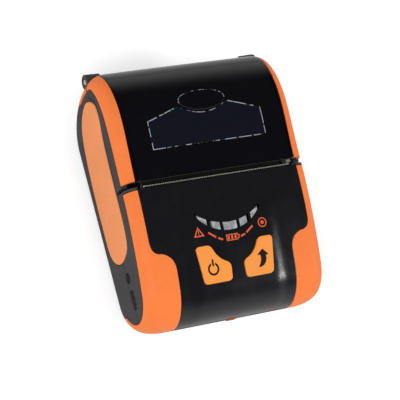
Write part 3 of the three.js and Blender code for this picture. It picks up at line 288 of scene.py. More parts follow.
# Paper tray
TRAY_WALL = mm(1.6)
TRAY_END = mm(1.5)
TRAY_HALF_X = PAPER_HALF + mm(1)
TRAY_TOP_Z = HINGE_Z + mm(2)
TRAY_DEPTH = TRAY_TOP_Z - mm(5.6) - TRAY_WALL - SKIN - GAP
TRAY_CENTRE_Z = SKIN + GAP + TRAY_WALL + TRAY_DEPTH
TRAY_NEAR_Y = FRAME_FOOT_Y + mm(0.4)
TRAY_FAR_Y = FAR_END - mm(5.65)
TRAY_Y = (TRAY_NEAR_Y + TRAY_FAR_Y) / 2
TRAY_HALF_Y = TRAY_FAR_Y - TRAY_Y - TRAY_WALL
TRAY_STEPS = 56
TRAY_RIBS = (-30, -18, -6, 6, 18, 30)
SENSOR = mm(7)
SENSOR_X = mm(-12)

# Boards, sockets, battery and screws
KEY_BOARD_Z = BROW_Z - mm(8.8)
BOARD = mm(1.6)
BOARD_HOLE = mm(1.1)
HOLE_INSET = mm(3)
KEY_BOARD_TOP_Z = KEY_BOARD_Z + BOARD
KEY_BOARD_HALF = PAD_TOP_X + mm(7.5)
DECK_HOLE_HALF = KEY_BOARD_HALF - mm(4.5)
DECK_HOLE_NEAR_Y = NEAR_END + mm(13.35)
DECK_HOLE_FAR_Y = mm(-15)
SOCKET_X = DEEP_WALL + GAP - HALF_WIDTH
JACK_SIZE = mm(9)
JACK_HOLE = mm(5.8)
JACK_BORE = mm(5.5)
JACK_PIN = mm(2)
JACK_DEPTH = mm(11)
BOARD_TOP_Z = KEY_BOARD_Z - mm(5) - JACK_SIZE - GAP
SOCKET_Z = BOARD_TOP_Z + GAP + JACK_SIZE / 2
USB_Y = NEAR_END + mm(19.25)
JACK_Y = USB_Y + mm(12)
USB_SIZE = Vector((mm(7.8), mm(3.9)))
USB_MOUTH = Vector((mm(10.3), mm(5)))
USB_CORNER = mm(1)
USB_DEPTH = mm(8)
USB_SHEET = mm(0.4)
USB_REACH = mm(3.3)
BAY_WALL = mm(1.2)
PACK_TOP_Z = BOARD_TOP_Z - BOARD - mm(2.8)
PACK_HALF = HALF_WIDTH - mm(22.5)
PACK_NEAR_Y = NEAR_END + mm(12.85)
PACK_FAR_Y = mm(-16.3)
THUMB_RADIUS = mm(26)
THUMB_Z = mm(-25.1)
MAIN_BOARD_HALF = PACK_HALF + mm(5)
MAIN_BOARD_ARM_X = HALF_WIDTH - mm(4.3)
LATCH_HALF = mm(2.6)
LATCH_HEIGHT = mm(3.8)
LATCH_LOW_Z = SPLIT_Z - GAP - LATCH_HEIGHT
LATCH_FLANGE_Y = NEAR_END + DEEP_WALL + 2 * GAP
LATCH_PROUD = mm(0.4)
LATCH_FLANGE = mm(2)
SCREW_PLACES = [
    (side * (HALF_WIDTH - inset), y)
    for y, inset in ((mm(-27), mm(13.5)), (FAR_END - mm(35.25), mm(6.9)))
    for side in (-1, 1)
]
SCREW_HEAD_RADIUS = mm(2.6)
SCREW_HEAD = mm(2)
SCREW_SINK = mm(0.8)
SCREW_RADIUS = mm(1.25)
SCREW_LENGTH = mm(20)
THREAD_ROOT = mm(0.98)
THREAD_PITCH = mm(0.95)
BOSS_RADIUS = mm(3.5)
BOSS_TOP_Z = SPLIT_Z - mm(12)

# Names of what comes in pairs, by side
SIDES = ((-1, "left"), (1, "right"))
KEYS = ((-1, "power"), (1, "feed"))


SMOOTH_ANGLE = math.radians(38)


def smooth_share(value, low, high):
    share = min(1, max(0, (value - low) / (high - low)))
    return share * share * (3 - 2 * share)


def between(low, high, share):
    return low + (high - low) * share


def bezier(points, share):
    """A point and its tangent on a cubic curve."""
    rest = 1 - share
    weights = (rest**3, 3 * rest * rest * share, 3 * rest * share * share, share**3)
    slopes = (rest * rest, 2 * rest * share, share * share)
    place = [sum(w * p[axis] for w, p in zip(weights, points)) for axis in (0, 1)]
    lean = [
        sum(s * (b[axis] - a[axis]) for s, a, b in zip(slopes, points, points[1:]))
        for axis in (0, 1)
    ]
    return place, Vector(lean).normalized()


def make_stations():
    """The side outline as (y, z, outward y, outward z, spread, drop), anticlockwise seen from +X."""
    found = []
    for number, (y, z, spread, drop, shares, steps) in enumerate(OUTLINE):
        to_y, to_z, to_spread, to_drop = OUTLINE[(number + 1) % len(OUTLINE)][:4]
        handles = [(between(y, to_y, sy), between(z, to_z, sz)) for sy, sz in shares]
        for step in range(steps):
            share = step / steps
            (at_y, at_z), lean = bezier([(y, z), *handles, (to_y, to_z)], share)
            ease = smooth_share(share, 0, 1)
            found.append(
                (at_y, at_z, lean.y, -lean.x, between(spread, to_spread, ease), between(drop, to_drop, ease))
            )
    return found


STATIONS = make_stations()


def pad_lift(x, y, z):
    across = 1 - smooth_share(abs(x), PAD_TOP_X, PAD_FOOT_X)
    along = 1 - smooth_share(y, PAD_FULL_Y, PAD_START_Y)
    return PAD_RISE * across * along * smooth_share(z, PAD_FADE_Z, PAD_FULL_Z)


def link(name, data):
    piece = bpy.data.objects.new(name, data)
    bpy.context.scene.collection.objects.link(piece)
    return piece


def mesh_piece(name, points, edges=(), faces=()):
    mesh = bpy.data.meshes.new(name)
    mesh.from_pydata(points, edges, faces)
    return link(name, mesh)


def clear_selection():
    for other in bpy.context.selected_objects:
        other.select_set(False)


def pick(piece):
    """Makes a piece the only selected one, and active."""
    clear_selection()
    bpy.context.view_layer.objects.active = piece
    piece.select_set(True)
    return piece


def apply_modifier(piece, kind, **settings):
    pick(piece)
    change = piece.modifiers.new(kind.lower(), kind)
    for name, value in settings.items():
        setattr(change, name, value)
    bpy.ops.object.modifier_apply(modifier=change.name)
    return piece


def edited(piece, *steps):
    """Runs steps in edit mode, each an operator of bpy.ops.mesh with its settings, on the whole piece."""
    pick(piece)
    bpy.ops.object.mode_set(mode="EDIT")
    for operator, settings in steps:
        bpy.ops.mesh.select_all(action="SELECT")
        getattr(bpy.ops.mesh, operator)(**settings)
    bpy.ops.object.mode_set(mode="OBJECT")
    return piece


@functools.lru_cache(maxsize=None)
def form_parts(inset, with_pad):
    """Points and faces of the whole case as one closed form, inset from its outer face."""
    angles = [math.pi / 2 * (EDGE_STEPS - step) / EDGE_STEPS for step in range(EDGE_STEPS + 1)]
    flats = [FLAT_SHARE * HALF_WIDTH * (step + 1) / FLAT_STEPS for step in range(FLAT_STEPS)]
    rings = [(-1, a) for a in angles] + [(0, -x) for x in reversed(flats)] + [(0, 0.0)]
    rings += [(0, x) for x in flats] + [(1, a) for a in reversed(angles)]
    points = []
    for side, value in rings:
        for y, z, out_y, out_z, spread, drop in STATIONS:
            x = side * (HALF_WIDTH - inset - (spread - inset) * (1 - math.sin(value))) if side else value
            edge = (drop - inset) * (1 - math.cos(value)) if side else 0
            crown = CROWN * max(0, 1 - (x / (HALF_WIDTH - spread)) ** 2) * max(0, out_z)
            inward = inset + edge - crown - (pad_lift(x, y, z) if with_pad else 0)
            points.append((x, y - out_y * inward, z - out_z * inward))
    count = len(STATIONS)
    faces = []
    for ring in range(len(rings) - 1):
        low = ring * count
        high = low + count
        for step in range(count):
            after = (step + 1) % count
            faces.append((low + step, low + after, high + after, high + step))
    faces.append(tuple(reversed(range(count))))
    faces.append(tuple(range(len(points) - count, len(points))))
    return points, faces


def body_form(inset=0.0, with_pad=False):
    """The whole case as one closed solid, inset from its outer face, with or without the raised key pad."""
    points, faces = form_parts(inset, with_pad)
    return mesh_piece("body form", points, faces=faces)


@functools.lru_cache(maxsize=None)
def form_tree(inset, with_pad):
    return BVHTree.FromPolygons(*form_parts(inset, with_pad))


def top_height(x, y, inset=0.0, with_pad=False):
    """Height of the case's upper face over a place in plan."""
    return form_tree(inset, with_pad).ray_cast(Vector((x, y, TALL)), Vector((0, 0, -1)))[0].z


def combine(piece, tools, operation):
    """Cuts each tool from a piece, joins it on or keeps what they share, and drops the tool."""
    for tool in tools:
        apply_modifier(piece, "BOOLEAN", operation=operation, solver="MANIFOLD", object=tool)
        bpy.data.objects.remove(tool)
    return piece


def cut(piece, *tools):
    return combine(piece, tools, "DIFFERENCE")


def keep(piece, *tools):
    return combine(piece, tools, "INTERSECT")


def join(piece, *tools):
    return combine(piece, tools, "UNION")


def placed():
    """The primitive just added, with its place, turn and scale put into its mesh."""
    bpy.ops.object.transform_apply(location=True, rotation=True, scale=True)
    return bpy.context.object


def point_on(axis, along, u, v):
    """A point from its place along X, Y or Z and its two other coordinates."""
    return {"x": (along, u, v), "y": (u, along, v), "z": (u, v, along)}[axis]


def block(x0, x1, y0, y1, z0, z1):
    clear_selection()
    middle = ((x0 + x1) / 2, (y0 + y1) / 2, (z0 + z1) / 2)
    bpy.ops.mesh.primitive_cube_add(size=1, location=middle, scale=(x1 - x0, y1 - y0, z1 - z0))
    return placed()


def bar(half, y0, y1, z0, z1):
    """A block that reaches as far to the left as to the right."""
    return block(-half, half, y0, y1, z0, z1)


def box_about(x, y, half_x, half_y, z0, z1):
    """A block about a place in plan."""
    return block(x - half_x, x + half_x, y - half_y, y + half_y, z0, z1)


def rod(axis, radius, low, high, u, v, sides=48, top=None):
    """A round bar along X, Y or Z from low to high, about the line (u, v) of its two other coordinates."""
    clear_selection()
    turn = {"x": (0, math.pi / 2, 0), "y": (-math.pi / 2, 0, 0), "z": (0, 0, 0)}[axis]
    bpy.ops.mesh.primitive_cone_add(
        vertices=sides, radius1=radius, radius2=radius if top is None else top, depth=high - low,
        location=point_on(axis, (low + high) / 2, u, v), rotation=turn,
    )
    return placed()


def hinge_rod(radius, x0, x1):
    """A round bar on the hinge's axis."""
    return rod("x", radius, x0, x1, HINGE_Y, HINGE_Z)


def prism(outline, axis, low, high):
    """A flat outline in the two other coordinates, run straight along X, Y or Z from low to high."""
    return edited(
        mesh_piece("prism", [point_on(axis, low, u, v) for u, v in outline], faces=[range(len(outline))]),
        ("extrude_region_move", {"TRANSFORM_OT_translate": {"value": point_on(axis, high - low, 0, 0)}}),
        ("normals_make_consistent", {"inside": False}),
    )


def quadratic(start, handle, end, steps=12):
    """Points after start, up to end, on a quadratic curve."""
    points = []
    for step in range(1, steps + 1):
        share = step / steps
        rest = 1 - share
        points.append(tuple(rest * rest * a + 2 * rest * share * b + share * share * c
                            for a, b, c in zip(start, handle, end)))
    return points


def soften(piece, width, segments=2, angle=40):
    """Rounds the sharp edges of a piece."""
    return apply_modifier(
        piece, "BEVEL", width=width, segments=segments, limit_method="ANGLE", angle_limit=math.radians(angle),
        use_clamp_overlap=False, loop_slide=False, harden_normals=False,
    )


def eased(piece, width):
    """A cut shell cleaned up, with its edges rounded."""
    return soften(tidy_mesh(piece), width)


def tidy_mesh(piece, distance=mm(0.01)):
    """Merges doubles, drops what is loose and closes small holes."""
    return edited(
        piece,
        ("remove_doubles", {"threshold": distance}),
        ("dissolve_degenerate", {"threshold": distance}),
        ("delete_loose", {"use_verts": True, "use_edges": True, "use_faces": False}),
        ("fill_holes", {"sides": 12}),
    )


def settle(piece, name, body, slot, nodes=(), finish=None):
    """Names and shades a finished piece, gives it its finish, ties it to its body and hides the nodes it stands for.
    """
    piece.name = name
    piece.data.name = name
    pick(piece)
    bpy.ops.object.shade_smooth_by_angle(angle=SMOOTH_ANGLE)
    weighting = {"mode": "FACE_AREA_WITH_ANGLE", "weight": 50, "thresh": 0.01}
    apply_modifier(piece, "WEIGHTED_NORMAL", **weighting, keep_sharp=True)
    piece.data.materials.clear()
    piece.data.materials.append(finish_for(finish or slot))
    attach(piece, body)
    if nodes:
        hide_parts(*nodes)
    return piece


def span(side, near, far):
    return (near, far) if side > 0 else (-far, -near)


def side_face(margin):
    """A prism within the outline of the flat side face, drawn in by a margin: the dark part of each side."""
    outline = []
    for y, z, out_y, out_z, spread, drop in STATIONS:
        point = (y - out_y * (drop + margin), z - out_z * (drop + margin))
        onward = Vector((-out_z, out_y))
        if not outline or (Vector(point) - Vector(outline[-1])).dot(onward) > mm(0.05):
            outline.append(point)
    return prism(outline, "x", -WIDE, WIDE)


def grip_point(shares, grow=0.0):
    y = between(GRIP_NEAR_Y, GRIP_FAR_Y, shares[0])
    z = between(GRIP_LOW_Z, GRIP_HIGH_Z, shares[1])
    far = 1 if y > (GRIP_NEAR_Y + GRIP_FAR_Y) / 2 else -1
    high = 1 if z > (GRIP_LOW_Z + GRIP_HIGH_Z) / 2 else -1
    return y + far * grow, z + high * grow


def through(points, steps, closed):
    """A smooth curve through points: centripetal if closed, even otherwise."""
    power = 0.25 if closed else 0
    count = len(points)
    found = []
    for number in range(count if closed else count - 1):
        if closed:
            p = [Vector(points[(number + shift) % count]) for shift in (-1, 0, 1, 2)]
        else:
            p = [Vector(points[min(count - 1, max(0, number + shift))]) for shift in (-1, 0, 1, 2)]
        gaps = [max((b - a).length_squared ** power, 1e-9) if closed else 1.0 for a, b in zip(p, p[1:])]
        lean = []
        for (a, b, c), (first, second) in ((p[:3], gaps[:2]), (p[1:], gaps[1:])):
            slope = (b - a) / first - (c - a) / (first + second) + (c - b) / second
            lean.append(slope * gaps[1] if closed else (c - a) / 2)
        for step in range(steps):
            t = step / steps
            found.append(tuple(
                (2 * t**3 - 3 * t**2 + 1) * p[1] + (t**3 - 2 * t**2 + t) * lean[0]
                + (3 * t**2 - 2 * t**3) * p[2] + (t**3 - t**2) * lean[1]
            ))
    if not closed:
        found.append(tuple(points[-1]))
    return found


def grip_outline(grow):
    return through([grip_point(share, grow) for share in GRIP_OUTLINE], 8, True)


def lid_region(clear, near_y, band_y):
    """Side outline of the lid, grown by a clearance, right across the body."""
    rim = [grip_point(share, GRIP_RIM + GAP - clear) for share in GRIP_OUTLINE[2:8]]
    near, band, tail = near_y - clear, band_y - clear, LID_TAIL_Z + GAP - clear
    outline = [(near, TALL), (near, BAND_TOP_Z), (band, BAND_TOP_Z)]
    outline += through([(band, rim[1][1] - GAP), *rim[1:5]], 10, False)
    outline += [(rim[5][0], tail), (OUT_FAR, tail), (OUT_FAR, TALL)]
    return prism(outline, "x", -WIDE, WIDE)


def lid_space():
    return lid_region(0, SLOT_LID_Y, BAND_LID_Y)


def lid_keep_out():
    return lid_region(GAP, BAND_CASE_Y + GAP, BAND_CASE_Y + GAP)


def panel_outline(margin):
    side = STRIP_X - margin
    waist = FLARE_END[0] - margin
    bend = (FLARE_BEND[0] - margin, FLARE_BEND[1] + margin)
    start = (side, FLARE_START_Y - margin)
    right = [(side, OVERRUN), start]
    right += quadratic(start, (side, bend[1]), bend)
    right += quadratic(bend, (waist, FLARE_KNEE_Y + margin), (waist, FLARE_END[1]))
    right.append((waist, OUT_NEAR))
    return right + [(-x, y) for x, y in reversed(right)]


def panel_space(margin):
    column = prism(panel_outline(margin), "z", SPLIT_Z + margin, TALL)
    return cut(column, bar(WIDE, SLOT_PANEL_Y - margin, OUT_FAR, DEEP, TALL))


def bumper_space(margin):
    room = bar(WIDE, OUT_NEAR, STRIP_END_Y - margin, DEEP, TALL)
    foot = bar(WIDE, BUMPER_FOOT_Y - margin, FAR_END, DEEP, BUMPER_FOOT_Z)
    return cut(room, prism(panel_outline(-margin), "z", DEEP, TALL), foot, side_face(-margin))


def trim_space(margin):
    room = bar(WIDE, TRIM_NEAR_Y + margin, OUT_FAR, TRIM_FOOT_Z + margin, TRIM_TOP_Z - margin)
    inner = STRIP_X + GAP + margin
    return cut(room, bar(inner, 0, OUT_FAR, DEEP, TALL), side_face(-margin))


def half_space(side):
    return block(*span(side, 0, WIDE), OUT_NEAR, OUT_FAR, DEEP, TALL)


def outer_skin(with_pad=False):
    return cut(body_form(0, with_pad), body_form(SKIN))


@functools.lru_cache(maxsize=None)
def mechanism_places():
    """Where the nip, gears and motor lie in (y, z), worked out from the platen and the hinge."""
    out = Vector((PLATEN_Y - HINGE_Y, PLATEN_Z - HINGE_Z)).normalized()
    up = Vector((out.y, -out.x))
    platen = Vector((PLATEN_Y, PLATEN_Z))
    idler = platen - up * (GEAR_MODULE * (PLATEN_TEETH + IDLER_TEETH) / 2 + MESH_SLACK)
    reach = GEAR_MODULE * (IDLER_TEETH + PINION_TEETH) / 2 + MESH_SLACK
    pinion = idler + Vector((math.cos(PINION_BEARING), math.sin(PINION_BEARING))) * reach
    return {"out": out, "up": up, "platen": platen, "idler": idler, "pinion": pinion}


# Case halves


def beyond_ledge(space):
    return cut(space, body_form(SKIN + GAP))


def case_wall():
    bay = bar(HALF_WIDTH, DECK_END_Y, FAR_CORNER_Y, SKIN, HEIGHT)
    far = bar(FAR_CORNER_X, FAR_CORNER_Y - SKIN, FAR_END, SKIN, HEIGHT)
    plain = keep(join(bay, far), body_form(SKIN))
    return cut(body_form(0), body_form(DEEP_WALL), plain)


def slab(low, high):
    return bar(WIDE, OUT_NEAR, OUT_FAR, low, high)


def grip_recess(side):
    return prism(grip_outline(0), "x", *span(side, HALF_WIDTH - GRIP_DEPTH, WIDE))


def knuckle_notch(side):
    x0, x1 = span(side, KNUCKLE_INNER_X - GAP, KNUCKLE_MID_X + GAP)
    hollow = hinge_rod(LID_KNUCKLE_RADIUS + GAP, x0, x1)
    over = block(x0, x1, HINGE_Y - KNUCKLE_RADIUS - HINGE_WEB, OUT_FAR, HINGE_Z - LEDGE, TALL)
    return join(hollow, over)


def pin_hole(side, clear):
    x0, x1 = span(side, KNUCKLE_INNER_X - GAP, WIDE)
    return hinge_rod(PIN_RADIUS + clear, x0, x1)


def socket_holes():
    half = USB_MOUTH / 2
    usb = block(-WIDE, SOCKET_X, USB_Y - half.x, USB_Y + half.x, SOCKET_Z - half.y, SOCKET_Z + half.y)
    return [rod("x", JACK_HOLE / 2, -WIDE, SOCKET_X, JACK_Y, SOCKET_Z), soften(usb, USB_CORNER, 4)]


def lower_housing():
    """The lower half, with the battery's room, screw bosses, latch mouth, socket holes and grip recesses."""
    shell = keep(case_wall(), slab(DEEP, SPLIT_Z - GAP / 2))
    cut(shell, beyond_ledge(bumper_space(-GAP)), beyond_ledge(trim_space(-GAP)))
    rim = GAP + BAY_WALL
    bay = bar(PACK_HALF + rim, PACK_NEAR_Y - rim, PACK_FAR_Y + rim, SKIN / 2, PACK_TOP_Z + rim)
    room = bar(PACK_HALF + GAP, PACK_NEAR_Y - GAP, PACK_FAR_Y + GAP, DEEP, PACK_TOP_Z + GAP)
    cut(join(shell, keep(bay, body_form(HAIR))), room)
    for x, y in SCREW_PLACES:
        join(shell, keep(rod("z", BOSS_RADIUS, SKIN / 2, BOSS_TOP_Z - GAP, x, y), body_form(HAIR)))
        bore = rod("z", SCREW_RADIUS + GAP, DEEP, BOSS_TOP_Z, x, y, 24)
        cut(shell, bore, rod("z", SCREW_HEAD_RADIUS + GAP, DEEP, SCREW_SINK + SCREW_HEAD, x, y))
    mouth = bar(LATCH_HALF + GAP, OUT_NEAR, NEAR_END + 2 * DEEP_WALL, LATCH_LOW_Z - GAP, SPLIT_Z)
    cut(shell, mouth, *socket_holes())
    for side in (-1, 1):
        cut(shell, grip_recess(side), knuckle_notch(side))
    return shell


def upper_housing():
    """The upper half, open for the lid, the panel and the keys, with its screw posts and hinge knuckles."""
    shell = keep(case_wall(), slab(SPLIT_Z + GAP / 2, TALL))
    cut(shell, lid_keep_out(), bar(STRIP_X - GAP, DECK_END_Y, FAR_CORNER_Y, SPLIT_Z, TALL))
    cut(shell, *(beyond_ledge(space(-GAP)) for space in (panel_space, bumper_space, trim_space)))
    cut(shell, bar(DECK_HOLE_HALF, DECK_HOLE_NEAR_Y, DECK_HOLE_FAR_Y, KEY_BOARD_TOP_Z, TALL))
    for x, y in SCREW_PLACES:
        far = y > 0
        top = LID_TAIL_Z if far else HEIGHT
        boss = keep(rod("z", BOSS_RADIUS, BOSS_TOP_Z, top, x, y), body_form(SKIN + GAP))
        if far:
            wall = math.copysign(HALF_WIDTH - SKIN / 2, x)
            join(boss, block(min(x, wall), max(x, wall), y - SKIN / 2, y + SKIN / 2, SPLIT_Z + GAP, top))
        bore = rod("z", SCREW_RADIUS + GAP, DEEP, SCREW_SINK + SCREW_HEAD + SCREW_LENGTH, x, y, 24)
        cut(join(shell, boss), bore)
    for side in (-1, 1):
        cut(shell, knuckle_notch(side), grip_recess(side))
    cut(shell, *socket_holes())
    for side in (-1, 1):
        cut(shell, pin_hole(side, GAP))
        knuckle = hinge_rod(KNUCKLE_RADIUS, *span(side, KNUCKLE_MID_X + GAP, KNUCKLE_OUTER_X))
        join(shell, cut(knuckle, pin_hole(side, GAP)))
    return shell


def corner_bumper(side):
    return eased(keep(outer_skin(), bumper_space(0), half_space(side)), sizes().edge)


def rear_rim(side):
    rim = eased(keep(outer_skin(), trim_space(0), half_space(side)), sizes().edge)
    return cut(rim, hinge_rod(KNUCKLE_RADIUS + GAP, *span(side, STRIP_X - GAP, WIDE)))


def side_grip(side):
    reach = span(side, HALF_WIDTH - GRIP_DEPTH + GAP, HALF_WIDTH + GRIP_PROUD)
    return soften(prism(grip_outline(-GAP), "x", *reach), sizes().grip_edge, 4)


# Panel, keys and lights


def rounded(corners):
    """A closed outline with each corner (x, y, cut) cut back by its length and bent round."""
    outline = []
    for number, (x, y, length) in enumerate(corners):
        point = Vector((x, y))
        before = Vector(corners[number - 1][:2])
        after = Vector(corners[(number + 1) % len(corners)][:2])
        start = point + (before - point).normalized() * length
        end = point + (after - point).normalized() * length
        outline.append(tuple(start))
        outline += quadratic(start, point, end, 8)
    return outline


def key_outline(side, grow):
    return rounded([
        (side * (share_x * PAD_TOP_X + out_x * grow), between(KEY_TOP_Y, KEY_FOOT_Y, share_y) + out_y * grow,
         length * PAD_TOP_X)
        for share_x, share_y, out_x, out_y, length in KEY_OUTLINE
    ])


def light_outline(start, end, grow):
    def arc(x, low_y, radius):
        return low_y + radius - math.sqrt(radius**2 - x**2)

    xs = [between(start - grow, end + grow, step / 12) for step in range(13)]
    low = [(x, arc(x, ARC_LOW_Y, ARC_LOW_RADIUS) - grow) for x in xs]
    high = [(x, arc(x, ARC_HIGH_Y, ARC_HIGH_RADIUS) + grow) for x in reversed(xs)]
    return low + high


def light_spans():
    ribs = [share * ARC_HALF for share in LIGHT_RIB_SHARES]
    edges = [-ARC_HALF - LIGHT_RIB / 2, *ribs, ARC_HALF + LIGHT_RIB / 2]
    return [(a + LIGHT_RIB / 2, b - LIGHT_RIB / 2) for a, b in zip(edges, edges[1:])]


def column(outline, low=0.0):
    return prism(outline, "z", low, TALL)


def front_panel():
    panel = eased(keep(outer_skin(True), panel_space(0)), sizes().edge)
    for side in (-1, 1):
        cut(panel, column(key_outline(side, GAP)))
    for start, end in light_spans():
        cut(panel, column(light_outline(start, end, GAP)))
    return panel


def resampled(outline, spacing):
    """The outline with its long stretches divided, none longer than the spacing."""
    points = []
    for number, point in enumerate(outline):
        start = Vector(point)
        onward = Vector(outline[(number + 1) % len(outline)]) - start
        parts = max(1, math.ceil(onward.length / spacing))
        points += [tuple(start + onward * part / parts) for part in range(parts)]
    return points


def drawn_in(outline, amount):
    """The outline moved inwards by an even amount."""
    points = []
    for number, point in enumerate(outline):
        onward = (Vector(outline[(number + 1) % len(outline)]) - Vector(outline[number - 1])).normalized()
        points.append((point[0] - onward.y * amount, point[1] + onward.x * amount))
    return points


def crowned_cap(outline, centre, rise, edge, foot):
    """A cap with a rounded edge, whose top follows the raised panel at a rise over it; foot gives its base."""
    outline = resampled(turned_right(outline), CAP_SPACING)
    turns = [math.pi / 2 * step / CAP_EDGE_STEPS for step in range(CAP_EDGE_STEPS + 1)]
    layers = [(drawn_in(outline, edge * (1 - math.cos(turn))), edge * (1 - math.sin(turn))) for turn in turns]
    rim = layers[-1][0]
    for share in CAP_RINGS:
        ring = [tuple(between(middle, value, share) for middle, value in zip(centre, point)) for point in rim]
        layers.append((ring, 0))
    points = [(x, y, foot(x, y)) for x, y in outline]
    for ring, drop in layers:
        points += [(x, y, top_height(x, y, -rise, True) - drop) for x, y in ring]
    count = len(outline)
    faces = [tuple(reversed(range(count)))]
    for low in range(0, len(layers) * count, count):
        high = low + count
        steps = [(step, (step + 1) % count) for step in range(count)]
        faces += [(low + step, low + after, high + after, high + step) for step, after in steps]
    faces.append(tuple(range(len(layers) * count, (len(layers) + 1) * count)))
    return mesh_piece("crowned cap", points, faces=faces)


def key_stem(side):
    return side * KEY_STEM_SHARES[0] * PAD_TOP_X, between(KEY_TOP_Y, KEY_FOOT_Y, KEY_STEM_SHARES[1])


def key_cap(side):
    x, y = key_stem(side)
    cap = crowned_cap(key_outline(side, 0), (x, y), KEY_PROUD, sizes().key_edge,
                      lambda *place: top_height(*place) - DEEP_WALL)
    foot = KEY_BOARD_TOP_Z + 2 * GAP + SWITCH_HEIGHT + KEY_TRAVEL
    return join(cap, rod("z", KEY_STEM_RADIUS, foot, top_height(x, y) - KEY_STEM_LAP, x, y))


def light_middle(start, end):
    x = (start + end) / 2
    outline = light_outline(x, x, 0)
    return x, (outline[0][1] + outline[-1][1]) / 2


def light_lens(start, end):
    start += LENS_END if start < -ARC_HALF / 2 else LENS_SIDE
    end -= LENS_END if end > ARC_HALF / 2 else LENS_SIDE
    return crowned_cap(light_outline(start, end, 0), light_middle(start, end), -LIGHT_SINK, LENS_EDGE,
                       lambda *place: KEY_BOARD_TOP_Z + GAP)


def inlay(outline, rise, depth):
    """A thin mark that follows the panel or lid: from a rise over its outer face to a depth under it."""
    return cut(keep(column(outline, SPLIT_Z), body_form(-rise, True)), body_form(depth, True))


# Lid


def window_outline(grow):
    """The pane's outline in plan: straight sides, two raised corners and a hollow far edge."""
    side, near, shoulder = WINDOW_HALF + grow, WINDOW_NEAR_Y - grow, WINDOW_SHOULDER_Y + grow
    x, y = WINDOW_PEAK_X + grow, WINDOW_PEAK_Y + grow
    outline = [(-side, near), (side, near), (side, shoulder), (x, y)]
    outline += quadratic((x, y), (0, 2 * WINDOW_HOLLOW_Y - WINDOW_PEAK_Y + grow), (-x, y), 32)
    return [*outline, (-side, shoulder)]


def lid_cover():
    """The gloss cover, with a fine groove along each side, the window's opening and the dimple."""
    middle = bar(STRIP_X - GAP / 2, 0, OUT_FAR, 0, TALL)
    cover = eased(keep(outer_skin(), lid_space(), middle), sizes().edge)
    for side in (-1, 1):
        line = stroke_outline([(side * LID_LINE_X, y) for y in (LID_LINE_NEAR_Y, LID_LINE_FAR_Y)], LID_LINE)
        cut(cover, cut(column(turned_right(line)), body_form(LID_LINE_DEPTH)))
    cut(cover, column(window_outline(0), BULGE_Z))
    clear_selection()
    bpy.ops.mesh.primitive_uv_sphere_add(
        segments=96, ring_count=48, radius=1, location=(DIMPLE_X, DIMPLE_Y, HEIGHT + CROWN / 2),
        scale=(DIMPLE_HALF_X, DIMPLE_HALF_Y, DIMPLE_DEPTH),
    )
    cut(cover, placed())
    for side in (-1, 1):
        cut(cover, hinge_rod(KNUCKLE_RADIUS + 2 * GAP, *span(side, KNUCKLE_INNER_X - GAP, HALF_WIDTH)))
    return cover


def dimple_edge(turn):
    """Where the dimple's hollow meets the lid's face in one direction from its middle."""
    low, high = 0.3, 1.0
    for _ in range(24):
        share = (low + high) / 2
        x = DIMPLE_X + DIMPLE_HALF_X * share * math.cos(turn)
        y = DIMPLE_Y + DIMPLE_HALF_Y * share * math.sin(turn)
        hollow = HEIGHT + CROWN / 2 - DIMPLE_DEPTH * math.sqrt(1 - share**2)
        if top_height(x, y) > hollow:
            low = share
        else:
            high = share
    return x, y


def dimple_rim():
    """A painted highlight: a fine pale line on the far half of the dimple's edge, where its rim catches the light.
    """
    line = [dimple_edge(math.radians(turn)) for turn in range(-10, 191, 5)]
    return inlay(turned_right(stroke_outline(line, DIMPLE_HIGHLIGHT_WIDTH)), MARK_RISE, MARK_DEPTH)


def lid_trim(side):
    x0, x1 = span(side, STRIP_X + GAP / 2, WIDE)
    strip = block(x0, x1, 0, OUT_FAR, 0, TALL)
    reach = lid_region(0, SLOT_LID_Y, SLOT_LID_Y)
    trim = eased(cut(keep(outer_skin(), reach, strip), side_face(0)), sizes().edge)
    return cut(trim, hinge_rod(KNUCKLE_RADIUS + 2 * GAP, x0, x1))


def lid_window():
    pane = cut(body_form(GAP / 2), body_form(SKIN))
    return keep(pane, column(window_outline(-GAP), BULGE_Z))


# A painted highlight: a thin pale ring just inside the pane's edge, standing in for the light that edge catches
def painted_pane_highlight():
    ring = cut(column(window_outline(-GAP), BULGE_Z), column(window_outline(-GAP - PANE_HIGHLIGHT_WIDTH), BULGE_Z))
    return cut(keep(ring, body_form(GAP / 2 - MARK_RISE)), body_form(GAP / 2 + MARK_DEPTH))


def lid_arm(side):
    x0, x1 = span(side, ARM_X, ARM_X + ARM)
    eye = rod("x", ARM_RADIUS, x0, x1, PLATEN_Y, PLATEN_Z)
    web = block(x0, x1, PLATEN_Y - ARM_RADIUS, PLATEN_Y + ARM_RADIUS, PLATEN_Z, THROAT_Z - SKIN)
    return keep(join(eye, web), body_form(SKIN + GAP))


def lid_knuckle(side):
    x0, x1 = span(side, KNUCKLE_INNER_X, KNUCKLE_MID_X)
    web = block(x0, x1, HINGE_Y - HINGE_WEB - 2 * LEDGE, HINGE_Y - LEDGE, HINGE_Z, BULGE_Z + KNUCKLE_RADIUS)
    return join(hinge_rod(LID_KNUCKLE_RADIUS, x0, x1), keep(web, body_form(SKIN + GAP)))


def lid_frame():
    bands = keep(cut(body_form(0), body_form(DEEP_WALL)), side_face(GAP))
    liner = cut(body_form(SKIN + GAP), body_form(DEEP_WALL))
    rim = keep(join(bands, liner), lid_space())
    cut(rim, column(window_outline(-FRAME_LEDGE), BULGE_Z))
    for side in (-1, 1):
        join(rim, lid_arm(side))
        x0, x1 = span(side, KNUCKLE_MID_X, WIDE)
        cut(rim, hinge_rod(KNUCKLE_RADIUS + 2 * GAP, x0, x1))
        join(rim, lid_knuckle(side))
    reach = ARM_X + ARM + GAP
    cut(rim, rod("x", SHAFT_RADIUS + GAP, -reach, reach, PLATEN_Y, PLATEN_Z))
    return cut(rim, pin_hole(-1, GAP), pin_hole(1, GAP))


# Print mechanism

